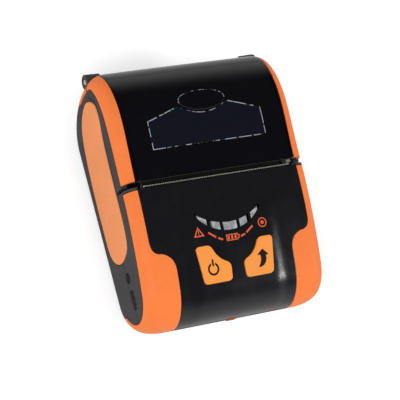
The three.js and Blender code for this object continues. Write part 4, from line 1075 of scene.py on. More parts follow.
SPIN_MERGE = mm(0.002)
PRESSED = mm(0.02)
RUNNING = mm(0.03)
ROOT_FILLET = mm(0.12)
GEAR_EDGE = mm(0.06)
WEB_SINK = mm(0.6)
COIL_TURNS = 4
COIL_STEPS = 20


def turned(profile, axis, u, v, closed=False, sides=64):
    """A round part from its profile of (place along the axis, radius), spun about the line (u, v)."""
    count = len(profile)
    edges = [(number, (number + 1) % count) for number in range(count if closed else count - 1)]
    about = {"center": point_on(axis, 0, u, v), "axis": point_on(axis, 1, 0, 0)}
    return edited(
        mesh_piece("turned part", [point_on(axis, along, u + radius, v) for along, radius in profile], edges),
        ("spin", {"steps": sides, "angle": 2 * math.pi, **about}),
        ("remove_doubles", {"threshold": SPIN_MERGE}),
        ("normals_make_consistent", {"inside": False}),
    )


def platen_roller():
    """The rubber sleeve with eased rims, bored for its shaft."""
    half, rim, bore, edge = PAPER_HALF + GAP, PLATEN_RADIUS, SHAFT_RADIUS + PRESSED, mm(0.4)
    profile = [(-half, bore), (-half, rim - edge), (edge - half, rim), (half - edge, rim), (half, rim - edge),
               (half, bore)]
    return turned(profile, "x", *mechanism_places()["platen"], closed=True, sides=96)


def platen_bush(side):
    """A flanged bush, between the roller and the lid's arm."""
    low, face, end = PAPER_HALF + 3 * GAP, PLATE_X - GAP, ARM_X - GAP
    flange, edge, bore = BUSH_RADIUS + BUSH_FLANGE, mm(0.25), SHAFT_RADIUS + RUNNING
    profile = [(low, bore), (low, flange - edge), (low + edge, flange), (face - edge, flange),
               (face, flange - edge), (face, BUSH_RADIUS), (end - edge, BUSH_RADIUS), (end, BUSH_RADIUS - edge),
               (end, bore)]
    mirrored = [(side * along, radius) for along, radius in profile]
    return turned(mirrored, "x", *mechanism_places()["platen"], closed=True)


def pin(x0, x1, radius, y, z, edge=mm(0.25), sides=48):
    """A turned pin along X with eased ends and a small centre mark in each end."""
    mark = radius * 0.3
    return turned(
        [(x0 + mark, 0), (x0, mark), (x0, radius - edge), (x0 + edge, radius), (x1 - edge, radius),
         (x1, radius - edge), (x1, mark), (x1 - mark, 0)], "x", y, z, sides=sides)


def gear_bearings():
    """Tooth bearings that put each tooth into its partner's gap."""
    up = mechanism_places()["up"]
    down = math.atan2(-up.y, -up.x)
    idler = down + math.pi + math.pi / IDLER_TEETH
    pinion = PINION_BEARING + math.pi + math.pi / PINION_TEETH
    pinion += (PINION_BEARING - idler) * IDLER_TEETH / PINION_TEETH
    return {"platen": down, "idler": idler, "pinion": pinion}


def gear_outline(teeth, bearing, centre):
    """Involute teeth about a centre in (y, z), one of them on the bearing."""
    pitch = GEAR_MODULE * teeth / 2
    base = pitch * math.cos(PRESSURE_ANGLE)
    root, tip = pitch - TOOTH_ROOT * GEAR_MODULE, pitch + TOOTH_TIP * GEAR_MODULE
    half_tooth = math.pi / (2 * teeth) - TOOTH_SLACK / (2 * pitch)

    def half_at(radius):
        lean = math.acos(min(1, base / radius))
        return half_tooth + math.tan(PRESSURE_ANGLE) - PRESSURE_ANGLE - math.tan(lean) + lean

    start = max(root + ROOT_FILLET, base)
    flank = [(root, half_at(base) + ROOT_FILLET / root), (root + ROOT_FILLET, half_at(base))]
    flank += [(between(start, tip, step / 5), half_at(between(start, tip, step / 5))) for step in range(1, 6)]
    points = []
    for tooth in range(teeth):
        middle = bearing + 2 * math.pi * tooth / teeth
        points += [(radius, middle - half) for radius, half in flank]
        points += [(radius, middle + half) for radius, half in reversed(flank)]
    return [(centre.x + radius * math.cos(turn), centre.y + radius * math.sin(turn)) for radius, turn in points]


def gear(name, teeth, axle_radius, hub=0.0, rim=0.0, holes=0):
    """A moulded gear with its bore, and where it has a web, a hub, a rim and lightening holes."""
    bearing, centre = gear_bearings()[name], mechanism_places()[name]
    near, far = GEAR_X, GEAR_X + GEAR_WIDTH
    wheel = soften(prism(gear_outline(teeth, bearing, centre), "x", near, far), GEAR_EDGE, 1, 70)
    if rim:
        for x0, x1 in ((near - GAP, near + WEB_SINK), (far - WEB_SINK, far + GAP)):
            cut(wheel, cut(rod("x", rim, x0, x1, *centre, 64), rod("x", hub, x0 - GAP, x1 + GAP, *centre, 48)))
    for hole in range(holes):
        turn = bearing + 2 * math.pi * hole / holes
        place = centre + Vector((math.cos(turn), math.sin(turn))) * (hub + rim) / 2
        cut(wheel, rod("x", (rim - hub) * 0.32, near - GAP, far + GAP, *place, 24))
    return cut(wheel, rod("x", axle_radius + RUNNING, near - GAP, far + GAP, *centre, 40))


def coil_spring(start, along, length, radius):
    """A wire coil from a place along a direction, its end turns laid flat."""
    along = Vector(along)
    across = along.orthogonal().normalized()
    upright = along.cross(across)
    steps = COIL_TURNS * COIL_STEPS
    curve = bpy.data.curves.new("coil", "CURVE")
    curve.dimensions = "3D"
    curve.bevel_depth = SPRING_WIRE
    curve.bevel_resolution = 3
    curve.use_fill_caps = True
    line = curve.splines.new("POLY")
    line.points.add(steps)
    for step in range(steps + 1):
        turn = step * 2 * math.pi / COIL_STEPS
        share = smooth_share(step, 0.05 * steps, 0.95 * steps) * 0.5 + 0.5 * step / steps
        reach = between(SPRING_WIRE, length - SPRING_WIRE, share)
        outward = across * math.cos(turn) + upright * math.sin(turn)
        line.points[step].co = (*(Vector(start) + along * reach + outward * (radius - SPRING_WIRE)), 1)
    pick(link("coil", curve))
    bpy.ops.object.convert(target="MESH")
    return tidy_mesh(bpy.context.object, mm(0.001))


def nip_point(out_by, up_by):
    """A place in (y, z) measured from the platen's face: away from the platen, and up along the head."""
    places = mechanism_places()
    return tuple(places["platen"] + places["out"] * (PLATEN_RADIUS + out_by) + places["up"] * up_by)


def nip_bar(corners, half):
    """A bar along X with its section given as (out, up) corners."""
    return prism([nip_point(*corner) for corner in corners], "x", -half, half)


def nip_plate(out_low, out_high, up_low, up_high, half):
    return nip_bar([(out_high, up_low), (out_low, up_low), (out_low, up_high), (out_high, up_high)], half)


def heat_sink():
    """An extruded sink: a plate with lengthwise fins, and a flat seat for the springs."""
    front = 2 * GAP + HEAD_THICKNESS
    back, root = front + SINK_THICKNESS, front + SINK_ROOT
    corners = [(front, GUIDE_FOOT - GAP), (front, -SINK_BELOW), (back, -SINK_BELOW)]
    for low in SINK_GROOVES:
        corners += [(back, mm(low)), (root, mm(low)), (root, mm(low + 1)), (back, mm(low + 1))]
    corners += [(back, SINK_SEAT), (root, SINK_SEAT), (root, GUIDE_FOOT - GAP)]
    return soften(nip_bar(corners, PAPER_HALF + HEAD_THICKNESS), SHEET_EDGE, 1)


def paper_guide():
    """A black strip over the head and its sink, with a lead-in edge for the paper."""
    low, high = GUIDE_FOOT, SINK_ABOVE
    back = 2 * GAP + HEAD_THICKNESS + SINK_THICKNESS
    corners = [(GAP, low), (mm(0.5), high - mm(0.4)), (mm(1.2), high), (back, high), (back, low)]
    return soften(nip_bar(corners[::-1], PAPER_HALF + HEAD_THICKNESS), MOULD_EDGE)


def head_spring(side):
    """A coil between the frame's cross plate and the sink."""
    y, z = nip_point(2 * GAP + HEAD_THICKNESS + SINK_THICKNESS + GAP, 0)
    length = y - GAP - FRAME_NEAR_Y - PLATE
    return coil_spring((side * 0.6 * PAPER_HALF, y, z), (0, -1, 0), length, HEAD_SPRING_RADIUS)


def frame_slot():
    """The open slot that lets a platen bush down into the frame."""
    up, centre = mechanism_places()["up"], mechanism_places()["platen"]
    half = BUSH_RADIUS + GAP
    across = Vector((-up.y, up.x)) * half
    above = up * 4 * PLATEN_RADIUS
    corners = [centre + across, centre - across, centre - across + above, centre + across + above]
    slot = prism([tuple(corner) for corner in corners], "x", -HALF_WIDTH, HALF_WIDTH)
    return join(slot, rod("x", half, -HALF_WIDTH, HALF_WIDTH, *centre, 64))


def mechanism_frame():
    """A folded steel frame: two side plates with bush slots and bearing holes, and the plate across."""
    idler, pinion = mechanism_places()["idler"], mechanism_places()["pinion"]
    floor, step_z = SKIN + GAP, PLATEN_Z - mm(11.2)
    fold, inner, outer = mm(0.6), mm(1.2), mm(1.8)
    near, top = FRAME_NEAR_Y, FRAME_TOP_Z
    outline = [(near, floor, fold), (FRAME_FOOT_Y, floor, fold), (FRAME_FOOT_Y, step_z, inner),
               (FRAME_FAR_Y, step_z, outer), (FRAME_FAR_Y, top, outer), (near, top, fold)]
    sides = [prism(rounded(outline), "x", *span(side, PLATE_X, PLATE_X + PLATE)) for side in (-1, 1)]
    body = join(bar(PLATE_X + PLATE / 2, near, near + PLATE, PLATEN_Z - mm(10), top), *sides)
    cut(body, frame_slot(), rod("x", MOTOR_COLLAR + GAP, 0, HALF_WIDTH, *pinion, 48),
        rod("x", IDLER_AXLE_RADIUS + PRESSED, 0, HALF_WIDTH, *idler, 40))
    for x in FRAME_HOLES:
        cut(body, rod("y", mm(1.5), near - GAP, near + PLATE + GAP, x, top - mm(3), 32))
    for side in (-1, 1):
        x0, x1 = span(side, PLATE_X - GAP, PLATE_X + PLATE + GAP)
        cut(body, rod("x", mm(1.6), x0, x1, near + mm(4), floor + mm(4), 32))
    return soften(body, SHEET_EDGE, 1)


def tear_bar():
    """A stamped cutter: a fine saw edge on an upright blade, folded into a foot."""
    count = round(2 * TEAR_HALF / TEAR_PITCH)
    pitch = 2 * TEAR_HALF / count
    foot_z = FRAME_TOP_Z + GAP
    outline = [(-TEAR_HALF, foot_z), (TEAR_HALF, foot_z)]
    for tooth in range(count, 0, -1):
        x = -TEAR_HALF + tooth * pitch
        outline += [(x, TEAR_TOP_Z - TEAR_TOOTH), (x - pitch / 2, TEAR_TOP_Z)]
    outline.append((-TEAR_HALF, TEAR_TOP_Z - TEAR_TOOTH))
    blade = prism(outline, "y", TEAR_Y, TEAR_Y + TEAR_THICKNESS)
    foot = bar(TEAR_HALF, FRAME_NEAR_Y, TEAR_Y + TEAR_THICKNESS / 2, foot_z, foot_z + TEAR_THICKNESS)
    for x in TEAR_HOLES:
        cut(foot, rod("z", mm(1.2), foot_z - GAP, foot_z + mm(2), x, FRAME_NEAR_Y + mm(3.2), 32))
    return join(blade, foot)


def tray_outline(margin, top):
    """The trough in side view: half an ellipse, its far side carried up."""
    half, depth = TRAY_HALF_Y + margin, TRAY_DEPTH + margin
    turns = [math.pi * (1 + step / TRAY_STEPS) for step in range(TRAY_STEPS + 1)]
    curve = [(TRAY_Y + half * math.cos(turn), TRAY_CENTRE_Z + depth * math.sin(turn)) for turn in turns]
    return [*curve, (TRAY_Y + half, top)]


def paper_tray():
    """The roll's trough, with low rubbing ribs along its floor."""
    half = TRAY_HALF_X
    tray = prism(tray_outline(TRAY_WALL, TRAY_TOP_Z), "x", -half - TRAY_END, half + TRAY_END)
    room = prism(tray_outline(0, HEIGHT), "x", -half, half)
    join(room, bar(half, TRAY_Y - TRAY_HALF_Y, TRAY_Y + TRAY_HALF_Y, TRAY_CENTRE_Z, HEIGHT))
    cut(tray, room)
    for x in TRAY_RIBS:
        rib = prism(tray_outline(mm(0.05), TRAY_CENTRE_Z), "x", mm(x - 0.45), mm(x + 0.45))
        cut(rib, prism(tray_outline(mm(-0.5), TRAY_CENTRE_Z), "x", mm(x - 2), mm(x + 2)))
        join(tray, rib)
    return soften(tray, MOULD_EDGE, 1)


def paper_sensor():
    """A reflective sensor: a small black housing with two lenses."""
    far, low, half = TRAY_NEAR_Y - GAP, TRAY_CENTRE_Z - SENSOR, SENSOR / 2
    body = block(SENSOR_X - half, SENSOR_X + half, far - mm(1.5), far - mm(0.25), low, low + SENSOR)
    soften(body, SMALL_EDGE)
    profile = [(far - mm(1), 0), (far - mm(1), mm(1)), (far - mm(0.2), mm(0.9)), (far, mm(0.5)), (far, 0)]
    for x in (-1.6, 1.6):
        join(body, turned(profile, "y", SENSOR_X + mm(x), low + half, sides=32))
    return body


def stepper_motor(centre):
    """A can motor with a stepped rear cap, crimped rims and its bearing collar."""
    face, end = PLATE_X - GAP, PLATE_X + PLATE
    back = face - MOTOR_LENGTH
    r, crimp, bore = MOTOR_RADIUS, MOTOR_RADIUS - mm(0.3), MOTOR_SHAFT_RADIUS + PRESSED
    can = turned([
        (back, bore), (back, mm(2.6)), (back + mm(0.8), mm(2.6)), (back + mm(0.8), r - mm(1.4)),
        (back + mm(1.1), r - mm(1)), (back + mm(2.1), r - mm(1)), (back + mm(2.3), r), (back + mm(4.6), r),
        (back + mm(4.8), crimp), (back + mm(5.4), crimp), (back + mm(5.6), r), (face - mm(5), r),
        (face - mm(4.8), crimp), (face - mm(4.2), crimp), (face - mm(4), r), (face - mm(0.5), r),
        (face, r - mm(0.5)), (face, MOTOR_COLLAR), (end - mm(0.3), MOTOR_COLLAR), (end, MOTOR_COLLAR - mm(0.3)),
        (end, bore),
    ], "x", *centre, closed=True, sides=72)
    for turn in MOTOR_NOTCHES:
        place = centre + Vector((math.cos(turn), math.sin(turn))) * r
        cut(can, rod("x", mm(0.7), face - mm(13), face - mm(10), *place, 24))
    return can


def screw(x, y):
    """A cross-headed screw with a rolled thread, head down."""
    head, foot = SCREW_SINK, SCREW_SINK + SCREW_HEAD
    tip = foot + SCREW_LENGTH
    z = foot + mm(1)
    wide, narrow = SCREW_HEAD_RADIUS, SCREW_RADIUS
    profile = [(head, 0), (head, wide - mm(0.7)), (head + mm(0.25), wide - mm(0.2)), (head + mm(0.8), wide),
               (foot, wide), (foot, narrow), (z, narrow)]
    while z < tip - mm(2):
        profile += [(z + mm(0.2), THREAD_ROOT), (z + mm(0.65), THREAD_ROOT), (z + mm(0.85), narrow)]
        z += THREAD_PITCH
    profile += [(tip - mm(1), mm(0.9)), (tip, mm(0.35)), (tip, 0)]
    piece = turned(profile, "z", x, y, sides=28)
    for across, along in ((wide / 2, mm(0.4)), (mm(0.4), wide / 2)):
        cut(piece, box_about(x, y, across, along, head - GAP, head + SCREW_HEAD / 2))
    return piece


# Boards, sockets and battery


def part_on(board_top, x, y, width, depth, height, edge=0.15):
    """A small moulded component standing on a board; sizes in millimetres."""
    sides = mm(x - width / 2), mm(x + width / 2), mm(y - depth / 2), mm(y + depth / 2)
    return soften(block(*sides, board_top, board_top + mm(height)), mm(edge), 1)


def drilled(board, reach, near_y, far_y):
    """Drills a board's four fixing holes."""
    for x in (-reach, reach):
        for y in (near_y, far_y):
            cut(board, rod("z", BOARD_HOLE, DEEP, TALL, x, y, 24))
    return board


def main_board():
    top = BOARD_TOP_Z
    arm = block(-MAIN_BOARD_ARM_X, 0, USB_Y - mm(5.9), JACK_Y + mm(5.6), top - BOARD, top)
    board = join(bar(MAIN_BOARD_HALF, PACK_NEAR_Y, PACK_FAR_Y, top - BOARD, top), arm)
    soften(keep(board, body_form(DEEP_WALL + GAP)), BOARD_EDGE, 1)
    return drilled(board, MAIN_BOARD_HALF - HOLE_INSET, PACK_NEAR_Y + HOLE_INSET, PACK_FAR_Y - HOLE_INSET)


def main_board_parts():
    """Black components of the main board: chips, connectors and small parts in rows."""
    top, near = BOARD_TOP_Z - PRESSED, PACK_NEAR_Y * 1000
    parts = [(4, near + 15, 10, 10, 1.2), (-14, near + 24, 7, 7, 1), (20, near + 12, 6, 5, 1.6),
             (-20, near + 8, 9, 4, 3.4), (24, near + 26, 5, 12, 4.2)]
    parts += [(x, near + 30, 1.8, 1, 0.8) for x in range(-4, 12, 3)]
    parts += [(x, near + 4, 1.8, 1, 0.8) for x in range(-6, 13, 3)]
    return merged([part_on(top, *part) for part in parts])


def capacitor_can(x, y, radius, height):
    """A can with a groove round its upper part; sizes in millimetres."""
    low = BOARD_TOP_Z - PRESSED
    profile = [(0, 0), (0, radius), (height - 1.6, radius), (height - 1.4, radius - 0.2),
               (height - 1.2, radius), (height - 0.2, radius), (height, radius - 0.3), (height, 0)]
    return turned([(low + mm(up), mm(r)) for up, r in profile], "z", mm(x), mm(y), sides=32)


def main_board_metal():
    """Metal parts on the main board: three capacitor cans, and the leads on four sides of a chip."""
    top, near = BOARD_TOP_Z - PRESSED, PACK_NEAR_Y * 1000
    made = [capacitor_can(-5, near + 20, 3, 6), capacitor_can(16, near + 22, 3.2, 6.5),
            capacitor_can(-22, near + 20, 2, 4.5)]
    for side in (-1, 1):
        for step in range(8):
            made.append(part_on(top, 4 + side * 5.5, near + 11.5 + step, 1.2, 0.45, 0.35, 0.08))
            made.append(part_on(top, 0.5 + step, near + 15 + side * 5.5, 0.45, 1.2, 0.35, 0.08))
    return merged(made)


def merged(pieces):
    """Several separate forms made one object."""
    clear_selection()
    for piece in pieces:
        piece.select_set(True)
    bpy.context.view_layer.objects.active = pieces[0]
    bpy.ops.object.join()
    return bpy.context.object


def key_board():
    board = bar(KEY_BOARD_HALF, NEAR_END + mm(12.35), mm(-15.5), KEY_BOARD_Z, KEY_BOARD_TOP_Z)
    return drilled(soften(board, BOARD_EDGE, 1), KEY_BOARD_HALF - HOLE_INSET, NEAR_END + mm(15.5), mm(-18.5))


def lamp_chips():
    """Small lamps on the key board, one under each light window."""
    low = KEY_BOARD_TOP_Z - PRESSED
    places = [light_middle(start, end) for start, end in light_spans()]
    return merged([part_on(low, x * 1000, y * 1000, 2, 1.2, 0.25, 0.06) for x, y in places])


def switch_body(x, y):
    """The switch's square case with four rivets and its round plunger."""
    low = KEY_BOARD_TOP_Z + GAP
    top, half, radius = low + SWITCH_HEIGHT, mm(3), mm(1.5)
    case = soften(box_about(x, y, half, half, low, low + mm(1.7)), mm(0.25))
    for across, along in SWITCH_RIVETS:
        join(case, rod("z", mm(0.45), low + mm(1.5), low + mm(2.05), x + across, y + along, 20))
    profile = [(low + mm(1), 0), (low + mm(1), radius), (top - mm(0.25), radius), (top, mm(1.25)), (top, 0)]
    return join(case, turned(profile, "z", x, y, sides=40))


def switch_plate(x, y):
    """The switch's sheet-metal cover with its round window."""
    low, half = KEY_BOARD_TOP_Z + GAP + mm(1.68), mm(2.9)
    plate = soften(box_about(x, y, half, half, low, low + mm(0.27)), BOARD_EDGE, 1)
    cut(plate, rod("z", mm(1.75), low - GAP, low + mm(1), x, y, 40))
    for across, along in SWITCH_RIVETS:
        cut(plate, rod("z", mm(0.5), low - GAP, low + mm(1), x + across, y + along, 20))
    return plate


def jack_body():
    """The round socket's square body, its bore flared at the mouth."""
    half, bore, front, back = JACK_SIZE / 2, JACK_BORE / 2, SOCKET_X, SOCKET_X + JACK_DEPTH
    body = soften(block(front, back, JACK_Y - half, JACK_Y + half, SOCKET_Z - half, SOCKET_Z + half), mm(0.4))
    cut(body, rod("x", bore, front - GAP, back - mm(2), JACK_Y, SOCKET_Z, 64))
    flare = mm(0.45)
    return cut(body, rod("x", bore + flare, front - flare, front + flare, JACK_Y, SOCKET_Z, 64, bore - mm(0.1)))


def jack_pin():
    """The round socket's centre pin, and the spring contact under it."""
    r, front, back = JACK_PIN / 2, SOCKET_X, SOCKET_X + JACK_DEPTH - mm(1)
    profile = [(front + mm(1), 0), (front + mm(1.1), r * 0.5), (front + mm(1.5), r * 0.9), (front + mm(2), r),
               (back, r), (back, 0)]
    low, y0, y1 = SOCKET_Z - JACK_BORE / 2, JACK_Y - mm(0.9), JACK_Y + mm(0.9)
    spring = block(front + mm(1.5), back - mm(0.5), y0, y1, low + mm(0.05), low + mm(0.45))
    return merged([turned(profile, "x", JACK_Y, SOCKET_Z, sides=40), soften(spring, SHEET_EDGE)])


def usb_shell():
    """A drawn steel shell with round corners and two spring windows in its top."""
    half, sheet, front, back = USB_SIZE / 2, USB_SHEET, SOCKET_X - USB_REACH, SOCKET_X + USB_DEPTH
    y0, y1, z0, z1 = USB_Y - half.x, USB_Y + half.x, SOCKET_Z - half.y, SOCKET_Z + half.y
    shell = block(front, back, y0, y1, z0, z1)
    room = block(front - GAP, back - mm(1), y0 + sheet, y1 - sheet, z0 + sheet, z1 - sheet)
    cut(soften(shell, mm(0.9), 4), soften(room, mm(0.55), 4))
    for y in (-1.9, 1.9):
        y0, y1 = USB_Y + mm(y - 0.6), USB_Y + mm(y + 0.6)
        cut(shell, block(SOCKET_X + mm(2.4), SOCKET_X + mm(6), y0, y1, SOCKET_Z, SOCKET_Z + mm(4)))
    return shell


def usb_tongue():
    half = USB_SIZE.x / 2
    y0, y1 = USB_Y - half + 3 * USB_SHEET, USB_Y + half - 3 * USB_SHEET
    front, back = SOCKET_X + mm(0.8) - USB_REACH, SOCKET_X + USB_DEPTH - mm(0.5)
    return soften(block(front, back, y0, y1, SOCKET_Z - mm(0.1), SOCKET_Z + mm(0.9)), SMALL_EDGE)


def usb_contacts():
    """Five contact strips under the tongue."""
    low, x, middle = SOCKET_Z - mm(0.25), SOCKET_X * 1000 + 2.6, USB_Y * 1000
    return merged([part_on(low, x, middle + step * 0.9, 8.4, 0.4, 0.2, 0.05) for step in (-2, -1, 0, 1, 2)])


def battery_pack():
    """The pack with its outer cover flush in the underside: a thumb hollow and five grip grooves."""
    pack = eased(keep(bar(PACK_HALF, PACK_NEAR_Y, PACK_FAR_Y, -GAP, PACK_TOP_Z), body_form(0)), mm(0.3))
    thumb = rod("y", THUMB_RADIUS, PACK_NEAR_Y + mm(2), PACK_NEAR_Y + mm(9), 0, THUMB_Z, 96)
    cut(pack, soften(thumb, mm(0.6), 3))
    for step in range(5):
        y = PACK_NEAR_Y + mm(13 + 2.2 * step)
        cut(pack, soften(bar(mm(11), y, y + mm(1), -GAP, mm(0.45)), mm(0.3)))
    return pack


def battery_latch():
    """The sliding latch: a ridged orange nub on its flange."""
    front, y = NEAR_END - LATCH_PROUD, LATCH_FLANGE_Y
    low, high = LATCH_LOW_Z, SPLIT_Z - GAP
    nub = soften(bar(LATCH_HALF, front, y + LATCH_FLANGE, low, high), mm(0.35), 3)
    for share in (0.3, 0.5, 0.7):
        z = between(low, high, share)
        cut(nub, bar(mm(1.7), NEAR_END - mm(1), front + mm(0.25), z - mm(0.18), z + mm(0.18)))
    return join(nub, soften(bar(mm(5), y, y + LATCH_FLANGE, low, high), SMALL_EDGE))


# Finishes

# The product of two noises is about this on the whole, so half of a surface drifts to the second colour
DRIFT_MIDDLE = 0.26
SPECK_SHARE = 0.6
RIB_SLANT = math.radians(-45)
RIB_SCALE = 240
RIB_HEIGHT = mm(0.12)


def tint(red, green, blue):
    """A screen colour, 0 to 255, as scene-linear shares."""
    shares = [value / 255 for value in (red, green, blue)]
    return tuple(share / 12.92 if share <= 0.04045 else ((share + 0.055) / 1.055) ** 2.4 for share in shares)


def feed(tree, node, inputs):
    """Gives each input of a node its value, or the socket that feeds it."""
    for label, value in inputs.items():
        if isinstance(value, bpy.types.NodeSocket):
            tree.links.new(value, node.inputs[label])
        else:
            node.inputs[label].default_value = value


def add_node(tree, kind, inputs=None, **settings):
    node = tree.nodes.new(f"ShaderNode{kind}")
    for name, value in settings.items():
        setattr(node, name, value)
    feed(tree, node, inputs or {})
    return node


def shared_group(name, inputs, output, kind, fill):
    """The node group of this name, built on first use; fill adds its nodes and gives the socket it puts out."""
    if name in bpy.data.node_groups:
        return bpy.data.node_groups[name]
    group = bpy.data.node_groups.new(name, "ShaderNodeTree")
    for label, sort in inputs.items():
        group.interface.new_socket(label, in_out="INPUT", socket_type=f"NodeSocket{sort}")
    group.interface.new_socket(output, in_out="OUTPUT", socket_type=f"NodeSocket{kind}")
    start = group.nodes.new("NodeGroupInput").outputs
    end = group.nodes.new("NodeGroupOutput")
    group.links.new(fill(group, start), end.inputs[output])
    return group


def grain_group():
    """Spark-eroded mould grain: fine noise, or rounded cells where Cells is 1."""
    def fill(group, start):
        place = {"Vector": start["Place"], "Scale": start["Scale"]}
        noise = add_node(group, "TexNoise", {**place, "Detail": 2, "Roughness": 0.55})
        cells = add_node(group, "TexVoronoi", {**place, "Smoothness": 0.6}, feature="SMOOTH_F1")
        ends = {2: noise.outputs["Fac"], 3: cells.outputs["Distance"]}
        return add_node(group, "Mix", {0: start["Cells"], **ends}).outputs[0]

    inputs = {"Place": "Vector", "Scale": "Float", "Cells": "Float"}
    return shared_group("Moulded grain", inputs, "Height", "Float", fill)


def handling_group():
    """Faint smears of handling: a roughness that drifts between Clean and Smeared."""
    def fill(group, start):
        place = {"Vector": start["Place"], "Scale": start["Scale"]}
        noise = add_node(group, "TexNoise", {**place, "Detail": 5, "Roughness": 0.65, "Distortion": 0.6})
        reach = {"From Min": 0.35, "From Max": 0.68, "To Min": start["Clean"], "To Max": start["Smeared"]}
        return add_node(group, "MapRange", {"Value": noise.outputs["Fac"], **reach}).outputs["Result"]

    inputs = {"Place": "Vector", "Scale": "Float", "Clean": "Float", "Smeared": "Float"}
    return shared_group("Handling marks", inputs, "Roughness", "Float", fill)


def drift_group():
    """A colour that drifts towards another in soft patches and fine specks."""
    def fill(group, start):
        place = {"Vector": start["Place"]}
        patches = add_node(group, "TexNoise", {**place, "Scale": start["Scale"], "Detail": 3})
        specks = add_node(group, "TexNoise", {**place, "Scale": start["Speck scale"], "Detail": 1})
        both = {0: patches.outputs["Fac"], 1: specks.outputs["Fac"]}
        product = add_node(group, "Math", both, operation="MULTIPLY").outputs[0]
        low, high = (
            add_node(group, "Math", {0: DRIFT_MIDDLE, 1: start["Softness"]}, operation=operation).outputs[0]
            for operation in ("SUBTRACT", "ADD")
        )
        share = add_node(group, "MapRange", {"Value": product, "From Min": low, "From Max": high})
        ends = {6: start["Colour"], 7: start["Towards"]}
        return add_node(group, "Mix", {0: share.outputs["Result"], **ends}, data_type="RGBA").outputs[2]

    inputs = {"Place": "Vector", "Scale": "Float", "Colour": "Color", "Towards": "Color",
              "Speck scale": "Float", "Softness": "Float"}
    return shared_group("Colour drift", inputs, "Colour", "Color", fill)


def shaded(colour, share):
    return tuple(min(1, value * share) for value in colour)


def moulded(name, colour, clean, smeared, grain, height, drift, cells=0.0, metallic=0.0, specular=0.22,
            smear_scale=60, stretch=None, patches=45, softness=0.15, ribs=False):
    """A finish with colour drift, handling marks and a fine surface relief. Returns the material."""
    material = bpy.data.materials.new(name)
    material.use_nodes = True
    tree = material.node_tree
    place = add_node(tree, "TexCoord").outputs["Object"]
    relief = place
    if stretch:
        relief = add_node(tree, "Mapping", {"Vector": place, "Scale": stretch}).outputs["Vector"]
    colours = add_node(tree, "Group", node_tree=drift_group())
    feed(tree, colours, {
        "Place": place, "Scale": patches, "Colour": (*colour, 1), "Towards": (*shaded(colour, drift), 1),
        "Speck scale": grain * SPECK_SHARE, "Softness": softness,
    })
    smears = {"Place": place, "Scale": smear_scale, "Clean": clean, "Smeared": smeared}
    marks = add_node(tree, "Group", smears, node_tree=handling_group())
    grains = {"Place": relief, "Scale": grain, "Cells": cells}
    texture = add_node(tree, "Group", grains, node_tree=grain_group())
    bump = add_node(tree, "Bump", {"Strength": 1, "Distance": height, "Height": texture.outputs["Height"]})
    normal = bump.outputs["Normal"]
    feed(tree, tree.nodes["Principled BSDF"], {
        "Base Color": colours.outputs["Colour"], "Roughness": marks.outputs["Roughness"],
        "Normal": ribbed(tree, place, normal) if ribs else normal,
        "Metallic": metallic, "Specular IOR Level": specular,
    })
    return material


def ribbed(tree, place, under):
    """The normal of fine slanting ribs laid over a surface relief, for grip rubber."""
    turn = add_node(tree, "Mapping", {"Vector": place, "Rotation": (RIB_SLANT, 0, 0)}).outputs["Vector"]
    waves = {"Vector": turn, "Scale": RIB_SCALE, "Distortion": 0.15}
    ribs = add_node(tree, "TexWave", waves, bands_direction="Y").outputs["Fac"]
    relief = {"Strength": 1, "Distance": RIB_HEIGHT, "Height": ribs, "Normal": under}
    return add_node(tree, "Bump", relief).outputs["Normal"]


def finish_for(name):
    """The material of a finish, made on first use with the colours set in the scene."""
    made = f"{name}_finish"
    if made not in bpy.data.materials:
        colour, *values, others = FINISHES[name]
        if isinstance(colour, str):
            colour = getattr(bpy.context.scene.printer_colours, colour)
        moulded(made, tuple(colour), *values, **others)
    return bpy.data.materials[made]


